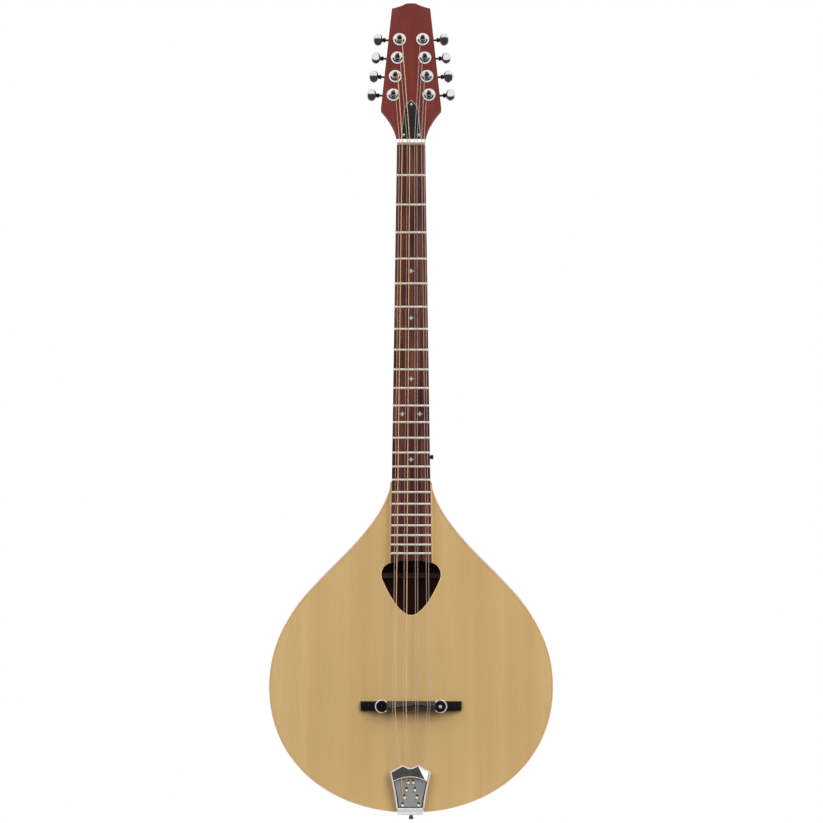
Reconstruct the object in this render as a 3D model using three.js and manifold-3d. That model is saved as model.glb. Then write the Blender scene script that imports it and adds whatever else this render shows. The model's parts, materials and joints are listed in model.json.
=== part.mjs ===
// Irish bouzouki with eight strings. Millimetres. +Z runs up the neck, the soundboard faces
// -Y and the treble side is +X. The origin is the middle of the zero fret, at the
// fretboard's surface.
import * as THREE from "three";
import { mergeVertices } from "three/addons/utils/BufferGeometryUtils.js";
import Module from "manifold-3d";

const wasm = await Module();
wasm.setup();

const DEG = Math.PI / 180;
const GLUE = 0.1; // gap left in a glued joint
const RUNNING = 0.3; // gap left round a part that turns or slides

// The scale and the fretboard.
const SCALE = 668;
const FRET_COUNT = 23;
const BOARD = { top: 1.5, end: -499.4, endHollow: 2.4, nutHalf: 17, endHalf: 24.5, thick: 6 };
const FRET = { half: 1.2, high: 1.0, zeroHigh: 1.25, inset: 0.4 };
const SPINE = { half: 1, deep: 1 };

// The neck leans back from the body, and the headstock leans back from the neck.
const NECK_LEAN = 2 * DEG;
const HEAD_LEAN = 14 * DEG;
const HEAD_AT = { y: 4, z: 6 };

// The body.
const TOP_FACE = -7.4;
const TOP_THICK = 3;
const BACK_FACE = 77.6;
const BACK_THICK = 3.2;
const RIM_THICK = 2.6;
const BRACE_THICK = 6.4;
const SHOULDER = { x: 24.3, z: -406, outward: 6.5, down: 47.5 };
const FLANK = { x: 116.85, z: -531.1, lean: 42.27 * DEG, above: 40, below: 16.9 };
const WIDEST = { x: 170.2, z: -650.9, above: 66.9, below: 90.9 };
const TAIL_Z = -801.8;
const TAIL_ROUND = 96.9;
const RIM_FRONT = TOP_FACE + TOP_THICK;
const RIM_BACK = BACK_FACE - BACK_THICK;

// The headstock, in its own frame: z up from the nut, y behind its front face.
const HEAD = { thick: 15, veneer: 1, shoulderX: 36.3, shoulderZ: 39.6, cornerX: 23.2, cornerZ: 167.2 };
const HEAD_TIP = { x: 6.2, z: 173.5 };
const NECK_DEPTH = 0.86; // the shaft's depth over its half width

// The truss rod, in the neck's frame.
const ROD = { radius: 2.6, y: 12.5, top: 8, length: 380, nutRadius: 3.2, nutEnd: 20 };

// The tuners, on the headstock.
const TUNER_X = [21.5, 19.0, 16.5, 14.0];
const TUNER_Z = [56.5, 80.2, 103.8, 127.5];
const TUNER_SLANT = 3 * DEG;
const POST = { radius: 3, waist: 2.4, rise: 10, waistFrom: -8, waistTo: -3.5, rear: 23 };
const WORM_DEPTH = 20;
const TEETH = 14;
const GEAR = { pitchRadius: 3.3, tooth: 0.42, half: 1.6 };
const WORM = { radius: 1.9, throw: 0.42, half: 1.9 };
const WORM_OFFSET = 5.3;
const WORM_PITCH = (2 * Math.PI * 3.4) / TEETH;
const SHAFT_RADIUS = 1.3;
const BUTTON = { at: 26.3, half: 6.3, tall: 7.8, thick: 4.6 };
const HOUSING = { half: 6, low: -6, high: 9.6, front: 15.1, rear: 25, wall: 1.2 };
const BUSHING_RADIUS = 4.8;
const WASHER = { radius: 7.9, thick: 2 };

// The strings, from the bass side to the treble side.
const NUT_X = [-14.0, -10.7, -4.6, -1.7, 4.1, 7.0, 12.5, 15.6];
const SADDLE_X = [-22.0, -19.2, -9.4, -5.9, 5.4, 8.2, 19.9, 22.7];
const EDGE_X = [-17.3, -13.2, -7.9, -4.2, 2.4, 6.6, 13.6, 17.4];
const WOUND = [false, true, false, true, false, false, false, false];
const STRING_RADIUS = { plain: 0.25, wound: 0.5 };

// The bridge: a base, a saddle on two studs, and a thumbwheel under each end of the saddle.
const BRIDGE_Z = -673.7;
const BRIDGE = { half: 60.5, deep: 11.2, front: -16, waist: 44 };
const STUD = { x: 35, radius: 2, front: -27 };
const WHEEL = { radius: 8.2, front: -20, back: -17.4, notches: 18 };
const SADDLE = { lobe: 6.4, back: -20.3, front: -26.5, half: 5 };
const RIDGE = { front: -28.6, half: 1.2, offsets: [-1.8, -0.2, 1.7, 0.7] };

// The tailpiece and what holds it.
const TAIL = { x: -0.9, front: -18, back: -14.5, strapHalf: 13, strapLow: 44 };
const PINS = [
  [-10.2, -792.4],
  [-7.9, -783.3],
  [-5.5, -774.4],
  [-3.4, -765.4],
  [2.6, -765.4],
  [4.6, -774.4],
  [7.0, -783.3],
  [9.0, -792.4],
];
const STRAP_THICK = 2.4;
const END_PIN_Y = 32;
const STRAP_BUTTON = { y: 34, z: -376 };
const BUTTON_POST = { high: 8.4, neck: 1.9, head: 2.9 };
const HEEL_HALF = 18.6;

const COLOURS = {
  spruce: 0xc4a36e,
  mahogany: 0x7a4238,
  rosewood: 0x4a342c,
  ebony: 0x1c191b,
  maple: 0xd6b07c,
  bone: 0xe8e0cc,
  chrome: 0xb8babc,
  steel: 0x8c8884,
  bronze: 0xb98a5e,
  blackPlastic: 0x141414,
};

const group = new THREE.Group();

// ---- helpers ----

// A closed three.js geometry as a manifold that faces out.
function solid(geometry) {
  geometry.deleteAttribute("normal");
  geometry.deleteAttribute("uv");
  const merged = mergeVertices(geometry, 1e-4);
  const corners = Array.from(merged.index.array);
  const outward = [];
  const inward = [];
  for (let i = 0; i < corners.length; i += 3) {
    const [a, b, c] = corners.slice(i, i + 3);
    if (a !== b && b !== c && c !== a) {
      outward.push(a, b, c);
      inward.push(a, c, b);
    }
  }
  const build = (triangles) =>
    new wasm.Manifold(
      new wasm.Mesh({
        numProp: 3,
        vertProperties: merged.attributes.position.array,
        triVerts: Uint32Array.from(triangles),
      }),
    );
  const made = build(outward);
  return made.volume() > 0 ? made : build(inward);
}

function placed(piece, matrix) {
  return piece.transform(matrix.elements);
}

function keep(name, piece, colour) {
  const made = piece.getMesh();
  const geometry = new THREE.BufferGeometry();
  geometry.setAttribute("position", new THREE.BufferAttribute(made.vertProperties, 3));
  geometry.setIndex(new THREE.BufferAttribute(made.triVerts, 1));
  geometry.computeVertexNormals();
  const mesh = new THREE.Mesh(geometry, new THREE.MeshStandardMaterial({ color: colour }));
  mesh.name = name;
  group.add(mesh);
}

// An outline drawn in X and Z, given thickness from y = front to y = back.
function slab(shape, front, back, curveSegments = 12) {
  const geometry = new THREE.ExtrudeGeometry(shape, {
    depth: back - front,
    bevelEnabled: false,
    curveSegments,
  });
  geometry.rotateX(Math.PI / 2);
  geometry.translate(0, back, 0);
  return solid(geometry);
}

// An outline drawn in Y and Z, given width from x = -half to x = half.
function sideways(shape, half, curveSegments = 10) {
  const geometry = new THREE.ExtrudeGeometry(shape, {
    depth: 2 * half,
    bevelEnabled: false,
    curveSegments,
  });
  const axes = new THREE.Matrix4().makeBasis(
    new THREE.Vector3(0, 1, 0),
    new THREE.Vector3(0, 0, 1),
    new THREE.Vector3(1, 0, 0),
  );
  geometry.applyMatrix4(axes);
  geometry.translate(-half, 0, 0);
  return solid(geometry);
}

function block(xs, ys, zs) {
  const geometry = new THREE.BoxGeometry(xs[1] - xs[0], ys[1] - ys[0], zs[1] - zs[0]);
  geometry.translate((xs[0] + xs[1]) / 2, (ys[0] + ys[1]) / 2, (zs[0] + zs[1]) / 2);
  return solid(geometry);
}

// A turned shape about Y through (x, z), from a list of [radius, y].
function turned(profile, segments = 16, x = 0, z = 0) {
  const points = profile.map(([radius, y]) => new THREE.Vector2(radius, y));
  const geometry = new THREE.LatheGeometry(points, segments);
  geometry.translate(x, 0, z);
  return solid(geometry);
}

function disc(radius, front, back, x, z, segments = 16) {
  return turned([[0, front], [radius, front], [radius, back], [0, back]], segments, x, z);
}

const TO_NECK = new THREE.Matrix4().makeRotationX(-NECK_LEAN);
const TO_HEAD = TO_NECK.clone()
  .multiply(new THREE.Matrix4().makeTranslation(0, HEAD_AT.y, HEAD_AT.z))
  .multiply(new THREE.Matrix4().makeRotationX(-HEAD_LEAN));

const fretZ = (n) => -SCALE * (1 - 2 ** (-n / 12));

// ---- the body ----

// The right half of the body's outline from the neck to the tail, moved inwards by inset.
function halfOutline(inset) {
  const path = new THREE.Path();
  const { x, z, lean, above, below } = FLANK;
  path.moveTo(SHOULDER.x, SHOULDER.z);
  path.bezierCurveTo(
    SHOULDER.x + SHOULDER.outward, SHOULDER.z - SHOULDER.down,
    x - above * Math.sin(lean), z + above * Math.cos(lean),
    x, z,
  );
  path.bezierCurveTo(
    x + below * Math.sin(lean), z - below * Math.cos(lean),
    WIDEST.x, WIDEST.z + WIDEST.above,
    WIDEST.x, WIDEST.z,
  );
  path.bezierCurveTo(WIDEST.x, WIDEST.z - WIDEST.below, TAIL_ROUND, TAIL_Z, 0, TAIL_Z);
  const points = path.getPoints(9);
  return points.map((point, i) => {
    if (i === 0) return new THREE.Vector2(point.x - inset, point.y - inset);
    if (i === points.length - 1) return new THREE.Vector2(0, point.y + inset);
    const along = points[i + 1].clone().sub(points[i - 1]).normalize();
    return new THREE.Vector2(point.x + inset * along.y, point.y - inset * along.x);
  });
}

function outline(inset) {
  const right = halfOutline(inset);
  const left = right.slice(0, -1).reverse();
  return right.concat(left.map((point) => new THREE.Vector2(-point.x, point.y))).reverse();
}

// The soundhole is a rounded triangle that points at the tail.
function soundhole() {
  const hole = new THREE.Path();
  hole.moveTo(0, -499.4);
  hole.bezierCurveTo(12, -499.4, 21, -501, 27.5, -503.4);
  hole.bezierCurveTo(35, -506.5, 38.2, -516.5, 32.9, -526);
  hole.bezierCurveTo(28.6, -536, 14, -565.1, 0, -565.1);
  hole.bezierCurveTo(-14, -565.1, -28.6, -536, -32.9, -526);
  hole.bezierCurveTo(-38.2, -516.5, -35, -506.5, -27.5, -503.4);
  hole.bezierCurveTo(-21, -501, -12, -499.4, 0, -499.4);
  return hole;
}

function ring(outerInset, innerInset, front, back) {
  const shape = new THREE.Shape(outline(outerInset));
  shape.holes.push(new THREE.Path(outline(innerInset)));
  return slab(shape, front, back);
}

function buildBody() {
  const top = new THREE.Shape(outline(0));
  top.holes.push(soundhole());
  keep("soundboard", slab(top, TOP_FACE, RIM_FRONT, 5), COLOURS.spruce);
  keep("back_plate", slab(new THREE.Shape(outline(0)), RIM_BACK, BACK_FACE), COLOURS.mahogany);
  keep("rim", ring(0, RIM_THICK, RIM_FRONT, RIM_BACK), COLOURS.mahogany);
  const liningIn = RIM_THICK + GLUE;
  keep("top_lining", ring(liningIn, liningIn + 6, RIM_FRONT, RIM_FRONT + 14), COLOURS.maple);
  keep("back_lining", ring(liningIn, liningIn + 6, RIM_BACK - 14, RIM_BACK), COLOURS.maple);
  const blockY = [RIM_FRONT + 14 + GLUE, RIM_BACK - 14 - GLUE];
  const neckZ = SHOULDER.z - RIM_THICK - GLUE;
  keep("neck_block", block([-21, 21], blockY, [neckZ - 40, neckZ]), COLOURS.maple);
  const inside = slab(new THREE.Shape(outline(liningIn)), ...blockY);
  const tail = inside.intersect(block([-40, 40], [-10, 90], [TAIL_Z, TAIL_Z + 28]));
  keep("tail_block", tail, COLOURS.maple);
}

function buildBraces() {
  for (const [side, x] of [["bass", -48], ["treble", 48]]) {
    const bar = new THREE.Shape();
    bar.moveTo(RIM_FRONT, -560);
    bar.lineTo(RIM_FRONT + 4, -560);
    bar.quadraticCurveTo(RIM_FRONT + 22, -665, RIM_FRONT + 4, -760);
    bar.lineTo(RIM_FRONT, -760);
    const piece = sideways(bar, 4, 6).translate([x, 0, 0]);
    keep(`tone_bar_${side}`, piece, COLOURS.spruce);
  }
  for (const [place, z, half] of [["upper", -519.8, 89], ["lower", -680, 154]]) {
    const brace = new THREE.Shape();
    brace.moveTo(-half, RIM_BACK);
    brace.lineTo(-half, RIM_BACK - 4);
    brace.lineTo(-half + 24, RIM_BACK - 13);
    brace.lineTo(half - 24, RIM_BACK - 13);
    brace.lineTo(half, RIM_BACK - 4);
    brace.lineTo(half, RIM_BACK);
    const geometry = new THREE.ExtrudeGeometry(brace, { depth: BRACE_THICK, bevelEnabled: false });
    geometry.translate(0, 0, z - BRACE_THICK / 2);
    keep(`back_brace_${place}`, solid(geometry), COLOURS.spruce);
  }
}

// ---- the neck ----

const boardHalf = (z) => {
  const along = (BOARD.top - z) / (BOARD.top - BOARD.end);
  return BOARD.nutHalf + (BOARD.endHalf - BOARD.nutHalf) * along;
};

// The fretboard's outline, wider by extra and starting at z = top.
function boardShape(top, extra) {
  const end = BOARD.end - BOARD.endHollow;
  const shape = new THREE.Shape();
  shape.moveTo(-boardHalf(top) - extra, top);
  shape.lineTo(-boardHalf(end) - extra, end);
  shape.quadraticCurveTo(0, BOARD.end + BOARD.endHollow, boardHalf(end) + extra, end);
  shape.lineTo(boardHalf(top) + extra, top);
  return shape;
}

function buildFretboard() {
  const groove = [-SPINE.half - RUNNING, SPINE.half + RUNNING];
  const board = slab(boardShape(BOARD.top, 0), 0, BOARD.thick, 8).subtract(
    block(groove, [-1, SPINE.deep + RUNNING], [fretZ(FRET_COUNT) - 4, fretZ(1) + 4]),
  );
  keep("fretboard", placed(board, TO_NECK), COLOURS.rosewood);

  const wedge = slab(boardShape(SHOULDER.z + GLUE, 2.1), TOP_FACE - 12, TOP_FACE - GLUE, 8);
  const under = block([-60, 60], [BOARD.thick + GLUE, 60], [-600, 0]);
  const riser = wedge.intersect(placed(under, TO_NECK));
  keep("fretboard_riser", riser, COLOURS.maple);
}

function fretWire(z, high, under) {
  const crown = new THREE.Shape();
  crown.moveTo(FRET.half, 0);
  crown.absellipse(0, 0, FRET.half, high, 0, Math.PI, false, 0);
  const half = boardHalf(z) - under;
  const geometry = new THREE.ExtrudeGeometry(crown, {
    depth: 2 * half,
    bevelEnabled: false,
    curveSegments: 3,
  });
  const axes = new THREE.Matrix4().makeBasis(
    new THREE.Vector3(0, 0, 1),
    new THREE.Vector3(0, -1, 0),
    new THREE.Vector3(1, 0, 0),
  );
  geometry.applyMatrix4(axes);
  geometry.translate(-half, -GLUE / 2, z);
  return solid(geometry);
}

function buildFrets() {
  let wires = block(
    [-SPINE.half, SPINE.half],
    [-0.4, SPINE.deep],
    [fretZ(FRET_COUNT) - 1, fretZ(1) + 1],
  );
  for (let n = 1; n <= FRET_COUNT; n++) {
    wires = wires.add(fretWire(fretZ(n), FRET.high, FRET.inset));
  }
  keep("frets", placed(wires, TO_NECK), COLOURS.steel);
  keep("zero_fret", placed(fretWire(0, FRET.zeroHigh, FRET.inset), TO_NECK), COLOURS.steel);
}

function buildNut() {
  const profile = new THREE.Shape();
  profile.moveTo(-2.2, BOARD.top + GLUE);
  profile.lineTo(-1.6, 5.7);
  profile.lineTo(BOARD.thick, 5.7);
  profile.lineTo(BOARD.thick, BOARD.top + GLUE);
  let nut = sideways(profile, 17.2);
  WOUND.forEach((wound, i) => {
    const half = (wound ? STRING_RADIUS.wound : STRING_RADIUS.plain) + 0.2;
    nut = nut.subtract(block([NUT_X[i] - half, NUT_X[i] + half], [-3, -0.3], [0, 8]));
  });
  keep("nut", placed(nut, TO_NECK), COLOURS.bone);
}

function headOutline() {
  const shape = new THREE.Shape();
  shape.moveTo(-17.1, 0);
  shape.bezierCurveTo(-18.6, 15, -26.5, 28, -HEAD.shoulderX, HEAD.shoulderZ);
  shape.lineTo(-HEAD.cornerX, HEAD.cornerZ);
  shape.quadraticCurveTo(-12, HEAD.cornerZ + 2.4, -HEAD_TIP.x, HEAD_TIP.z);
  shape.lineTo(HEAD_TIP.x, HEAD_TIP.z);
  shape.quadraticCurveTo(12, HEAD.cornerZ + 2.4, HEAD.cornerX, HEAD.cornerZ);
  shape.lineTo(HEAD.shoulderX, HEAD.shoulderZ);
  shape.bezierCurveTo(26.5, 28, 18.6, 15, 17.1, 0);
  return shape;
}

function postHoles() {
  const holes = [];
  TUNER_Z.forEach((z, i) => {
    for (const x of [TUNER_X[i], -TUNER_X[i]]) {
      holes.push(disc(BUSHING_RADIUS + 0.2, -2, HEAD.thick + 4, x, z));
    }
  });
  return wasm.Manifold.union(holes);
}

// The heel's outline from the side: it sweeps from the back of the neck to the body's back.
function heelSide() {
  const shape = new THREE.Shape();
  const low = -430;
  shape.moveTo(BOARD.thick, -300);
  shape.lineTo(22.5, -300);
  shape.bezierCurveTo(25, -352, 36, -366, 56, -372);
  shape.bezierCurveTo(70, -376, 84, -380, 93, -384);
  shape.lineTo(93, low);
  shape.lineTo(BOARD.thick, low);
  return shape;
}

// The pocket under the truss rod's cover, and the rod's bore down the neck.
function rodSpace() {
  const bore = new THREE.CylinderGeometry(ROD.radius + RUNNING, ROD.radius + RUNNING, ROD.length + 12, 16);
  bore.rotateX(Math.PI / 2);
  bore.translate(0, ROD.y, (12 - ROD.length) / 2 + ROD.top - 6);
  const pocket = block([-5, 5], [-10, ROD.y + 3.8], [ROD.top, ROD.nutEnd + 14]);
  return solid(bore).add(pocket);
}

function buildNeck() {
  // The shaft is half of a tapering elliptical bar.
  const length = 400;
  const bar = new THREE.CylinderGeometry(boardHalf(0), boardHalf(-length), length, 28);
  bar.rotateX(Math.PI / 2);
  bar.scale(1, NECK_DEPTH, 1);
  bar.translate(0, BOARD.thick, -length / 2);
  const under = block([-60, 60], [BOARD.thick + GLUE, 120], [-500, 60]);
  const throat = new THREE.Shape();
  throat.moveTo(BOARD.thick, 5.7);
  throat.lineTo(BOARD.thick, -30);
  throat.lineTo(16, -30);
  throat.quadraticCurveTo(17, -6, 22.5, 16);
  throat.lineTo(9, 16);
  const shaft = solid(bar)
    .add(sideways(throat, 15.5, 6))
    .add(sideways(heelSide(), HEEL_HALF, 8))
    .intersect(under);
  const head = placed(slab(headOutline(), HEAD.veneer + GLUE, HEAD.thick, 8), TO_HEAD);
  const clear = block([-100, 100], [-60, BACK_FACE], [SHOULDER.z + GLUE, 300]);
  const seat = placed(block([-60, 60], [-60, BOARD.thick + GLUE], [-500, 5.8]), TO_NECK);
  const neck = placed(shaft, TO_NECK)
    .add(head)
    .intersect(clear)
    .subtract(seat)
    .subtract(placed(postHoles(), TO_HEAD))
    .subtract(placed(rodSpace(), TO_NECK));
  keep("neck", neck, COLOURS.mahogany);
  const veneer = placed(slab(headOutline(), 0, HEAD.veneer, 8).subtract(postHoles()), TO_HEAD)
    .subtract(seat)
    .subtract(placed(rodSpace(), TO_NECK));
  keep("headstock_veneer", veneer, COLOURS.mahogany);
}

function buildTrussRod() {
  const rod = new THREE.CylinderGeometry(ROD.radius, ROD.radius, ROD.length, 12);
  rod.rotateX(Math.PI / 2);
  rod.translate(0, ROD.y, ROD.top - GLUE - ROD.length / 2);
  keep("truss_rod", placed(solid(rod), TO_NECK), COLOURS.steel);
  const nutLength = ROD.nutEnd - ROD.top - RUNNING;
  const hexagon = new THREE.CylinderGeometry(ROD.nutRadius, ROD.nutRadius, nutLength, 6);
  hexagon.rotateX(Math.PI / 2);
  hexagon.translate(0, ROD.y, ROD.top + RUNNING + nutLength / 2);
  keep("truss_rod_nut", placed(solid(hexagon), TO_NECK), COLOURS.steel);

  const bell = new THREE.Shape();
  bell.moveTo(-11.9, 1);
  bell.bezierCurveTo(-10.8, 14, -9.6, 26, -9.1, 34);
  bell.quadraticCurveTo(-8.7, 40.5, -4.9, 45.2);
  bell.lineTo(0, 50);
  bell.lineTo(4.9, 45.2);
  bell.quadraticCurveTo(8.7, 40.5, 9.1, 34);
  bell.bezierCurveTo(9.6, 26, 10.8, 14, 11.9, 1);
  keep("truss_rod_cover", placed(slab(bell, -1.8, -GLUE, 5), TO_HEAD), COLOURS.blackPlastic);
}

// ---- the tuners ----

// A tuner's frame: the origin is the post's axis at the headstock's face, x runs out along
// the knob's shaft and z towards the headstock's tip.
function tunerFrame(i) {
  return TO_HEAD.clone()
    .multiply(new THREE.Matrix4().makeTranslation(TUNER_X[i], 0, TUNER_Z[i]))
    .multiply(new THREE.Matrix4().makeRotationY(-TUNER_SLANT));
}

// A wheel whose teeth lean to follow the worm's thread.
function gear() {
  const profile = new THREE.Shape();
  const steps = TEETH * 4;
  for (let i = 0; i < steps; i++) {
    const angle = (2 * Math.PI * (i + 0.5)) / steps;
    const radius = GEAR.pitchRadius + (i % 4 === 1 || i % 4 === 2 ? -1 : 1) * GEAR.tooth;
    const point = [radius * Math.cos(angle), radius * Math.sin(angle)];
    if (i === 0) profile.moveTo(...point);
    else profile.lineTo(...point);
  }
  const geometry = new THREE.ExtrudeGeometry(profile, { depth: 2 * GEAR.half, bevelEnabled: false });
  geometry.translate(0, 0, -GEAR.half);
  geometry.rotateX(Math.PI / 2);
  const lead = Math.atan(WORM_PITCH / (2 * Math.PI * WORM.radius));
  twist(geometry, Math.tan(lead) / GEAR.pitchRadius);
  geometry.translate(0, WORM_DEPTH, 0);
  return solid(geometry);
}

// A round bar set off its axis and twisted, which leaves one screw thread.
function worm() {
  const turns = (2 * WORM.half) / WORM_PITCH;
  const geometry = new THREE.CylinderGeometry(
    WORM.radius, WORM.radius, 2 * WORM.half, 8, Math.round(turns * 8),
  );
  geometry.translate(0, 0, -WORM.throw);
  twist(geometry, (2 * Math.PI) / WORM_PITCH);
  geometry.rotateZ(-Math.PI / 2);
  geometry.translate(0, WORM_DEPTH, WORM_OFFSET);
  return solid(geometry);
}

// Turns each point about Y by its height times rate.
function twist(geometry, rate) {
  const position = geometry.attributes.position;
  const point = new THREE.Vector3();
  const up = new THREE.Vector3(0, 1, 0);
  for (let i = 0; i < position.count; i++) {
    point.fromBufferAttribute(position, i);
    point.applyAxisAngle(up, point.y * rate);
    position.setXYZ(i, point.x, point.y, point.z);
  }
}

// A round bar along a tuner's x axis, in line with the worm.
function shaftBar(radius, from, to, segments = 12) {
  const geometry = new THREE.CylinderGeometry(radius, radius, to - from, segments);
  geometry.rotateZ(-Math.PI / 2);
  geometry.translate((from + to) / 2, WORM_DEPTH, WORM_OFFSET);
  return solid(geometry);
}

function tunerHousing() {
  const { half, low, high, front, rear, wall } = HOUSING;
  const box = block([-half, half], [front, rear], [low, high]);
  const room = block(
    [-half + wall, half - wall],
    [front + 1.5, rear - 1.4],
    [low + wall, high - wall],
  );
  const tube = disc(BUSHING_RADIUS, -1, front + 0.5, 0, 0);
  const washer = turned(
    [[0, -GLUE], [WASHER.radius, -GLUE], [WASHER.radius, -0.7], [5.6, -WASHER.thick], [0, -WASHER.thick]],
    20,
  );
  return box
    .subtract(room)
    .add(tube)
    .add(washer)
    .subtract(disc(POST.radius + RUNNING, -4, front + 3, 0, 0))
    .subtract(shaftBar(SHAFT_RADIUS + RUNNING, 0, half + 2));
}

function tunerPost() {
  const stem = turned(
    [
      [0, -POST.rise],
      [POST.radius - 0.6, -POST.rise],
      [POST.radius, -POST.rise + 0.6],
      [POST.radius, POST.waistFrom],
      [POST.waist, POST.waistFrom + 0.6],
      [POST.waist, POST.waistTo - 0.6],
      [POST.radius, POST.waistTo],
      [POST.radius, WORM_DEPTH - GEAR.half],
      [GEAR.pitchRadius - 1.2, WORM_DEPTH - GEAR.half],
      [GEAR.pitchRadius - 1.2, POST.rear],
      [0, POST.rear],
    ],
    12,
  );
  return stem.add(gear());
}

function tunerKnob() {
  const button = new THREE.SphereGeometry(1, 12, 8);
  button.rotateZ(Math.PI / 2);
  button.scale(BUTTON.half, BUTTON.thick, BUTTON.tall);
  button.translate(BUTTON.at, WORM_DEPTH, WORM_OFFSET);
  return solid(button)
    .add(shaftBar(SHAFT_RADIUS, WORM.half - 0.4, BUTTON.at - BUTTON.half + 2))
    .add(worm());
}

function buildTuners() {
  for (let i = 0; i < TUNER_X.length; i++) {
    const frame = tunerFrame(i);
    for (const side of ["bass", "treble"]) {
      const set = (piece) => {
        const right = placed(piece, frame);
        return side === "treble" ? right : right.mirror([1, 0, 0]);
      };
      keep(`tuner_housing_${side}_${i + 1}`, set(tunerHousing()), COLOURS.chrome);
      keep(`tuner_post_${side}_${i + 1}`, set(tunerPost()), COLOURS.chrome);
      keep(`tuner_knob_${side}_${i + 1}`, set(tunerKnob()), COLOURS.chrome);
    }
  }
}

// ---- the bridge ----

function buildBridge() {
  const { half, deep, front, waist } = BRIDGE;
  const sight = new THREE.Shape();
  sight.moveTo(-half, TOP_FACE - GLUE);
  sight.lineTo(-half, TOP_FACE - 3);
  sight.lineTo(-waist, front);
  sight.lineTo(waist, front);
  sight.lineTo(half, TOP_FACE - 3);
  sight.lineTo(half, TOP_FACE - GLUE);
  const tall = new THREE.ExtrudeGeometry(sight, { depth: deep, bevelEnabled: false });
  tall.translate(0, 0, BRIDGE_Z - deep / 2);
  let base = solid(tall);
  for (const x of [-STUD.x, STUD.x]) {
    base = base.add(disc(STUD.radius, STUD.front, front + 1, x, BRIDGE_Z, 12));
  }
  keep("bridge_base", base, COLOURS.ebony);
  keep("bridge_saddle", saddle(), COLOURS.ebony);
  keep("thumbwheel_bass", thumbwheel(-STUD.x), COLOURS.chrome);
  keep("thumbwheel_treble", thumbwheel(STUD.x), COLOURS.chrome);
}

// The saddle's crest steps towards the neck or the tail under each pair of strings.
function saddle() {
  let bar = block([-STUD.x, STUD.x], [SADDLE.front + 3, SADDLE.back], [-SADDLE.half, SADDLE.half]);
  const span = 15.2;
  RIDGE.offsets.forEach((offset, i) => {
    const crest = new THREE.Shape();
    crest.moveTo(SADDLE.back - 1, -SADDLE.half + 0.2);
    crest.lineTo(SADDLE.front + 3, -SADDLE.half + 0.2);
    crest.lineTo(RIDGE.front, offset - RIDGE.half);
    crest.lineTo(RIDGE.front, offset + RIDGE.half);
    crest.lineTo(SADDLE.front + 3, SADDLE.half - 0.2);
    crest.lineTo(SADDLE.back - 1, SADDLE.half - 0.2);
    const middle = (i - 1.5) * (span - 1);
    bar = bar.add(sideways(crest, span / 2, 4).translate([middle, 0, 0]));
  });
  bar = bar.translate([0, 0, BRIDGE_Z]);
  for (const x of [-STUD.x, STUD.x]) {
    bar = bar.add(disc(SADDLE.lobe, SADDLE.front, SADDLE.back, x, BRIDGE_Z, 20));
  }
  for (const x of [-STUD.x, STUD.x]) {
    bar = bar.subtract(disc(STUD.radius + RUNNING, -40, 0, x, BRIDGE_Z, 12));
  }
  return bar;
}

function thumbwheel(x) {
  const rim = new THREE.Shape();
  const steps = WHEEL.notches * 2;
  for (let i = 0; i < steps; i++) {
    const angle = (2 * Math.PI * i) / steps;
    const radius = WHEEL.radius - (i % 2) * 0.8;
    const point = [radius * Math.cos(angle), radius * Math.sin(angle)];
    if (i === 0) rim.moveTo(...point);
    else rim.lineTo(...point);
  }
  rim.holes.push(new THREE.Path().absarc(0, 0, STUD.radius + RUNNING, 0, 2 * Math.PI, true));
  return slab(rim, WHEEL.front, WHEEL.back, 6).translate([x, 0, BRIDGE_Z]);
}

// ---- the tailpiece ----

function tailShape() {
  const shape = new THREE.Shape();
  const low = TAIL_Z;
  shape.moveTo(-15.6, low);
  shape.lineTo(-15.8, low + 4);
  shape.bezierCurveTo(-17, low + 20, -18.5, low + 34, -21.7, low + 40);
  shape.lineTo(-23.7, low + 48);
  shape.quadraticCurveTo(-16.5, low + 53.4, -8.9, low + 58);
  shape.quadraticCurveTo(0, low + 52.5, 8.9, low + 58);
  shape.quadraticCurveTo(16.5, low + 53.4, 23.7, low + 48);
  shape.lineTo(21.7, low + 40);
  shape.bezierCurveTo(18.5, low + 34, 17, low + 20, 15.8, low + 4);
  shape.lineTo(15.6, low);
  return shape;
}

// The lowered middle, under the strings' ends.
function tailRecess() {
  const shape = new THREE.Shape();
  const low = TAIL_Z;
  shape.moveTo(-13.5, low + 6);
  shape.bezierCurveTo(-14.5, low + 20, -16, low + 30, -18.5, low + 38);
  shape.quadraticCurveTo(0, low + 49, 18.5, low + 38);
  shape.bezierCurveTo(16, low + 30, 14.5, low + 20, 13.5, low + 6);
  return shape;
}

// The strap that wraps over the tail, from the side.
function tailStrap() {
  const { front, strapLow } = TAIL;
  const shape = new THREE.Shape();
  const out = TAIL_Z - STRAP_THICK - GLUE;
  shape.moveTo(front, TAIL_Z + 3.5);
  shape.quadraticCurveTo(front, out, front + 6, out);
  shape.lineTo(strapLow, out);
  shape.lineTo(strapLow, TAIL_Z - GLUE);
  shape.lineTo(TAIL.back + 1, TAIL_Z - GLUE);
  shape.lineTo(TAIL.back, TAIL_Z + 3.5);
  return shape;
}

function buildTailpiece() {
  let tail = slab(tailShape(), TAIL.front, TAIL.back, 6).subtract(
    slab(tailRecess(), TAIL.front - 1, TAIL.front + 1.5, 6),
  );
  tail = tail.add(sideways(tailStrap(), TAIL.strapHalf, 5));
  for (const [x, z] of PINS) {
    tail = tail.add(disc(2, TAIL.front - 1.6, TAIL.back - 0.5, x - TAIL.x, z, 10));
  }
  keep("tailpiece", tail.translate([TAIL.x, 0, 0]), COLOURS.chrome);
}

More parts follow.
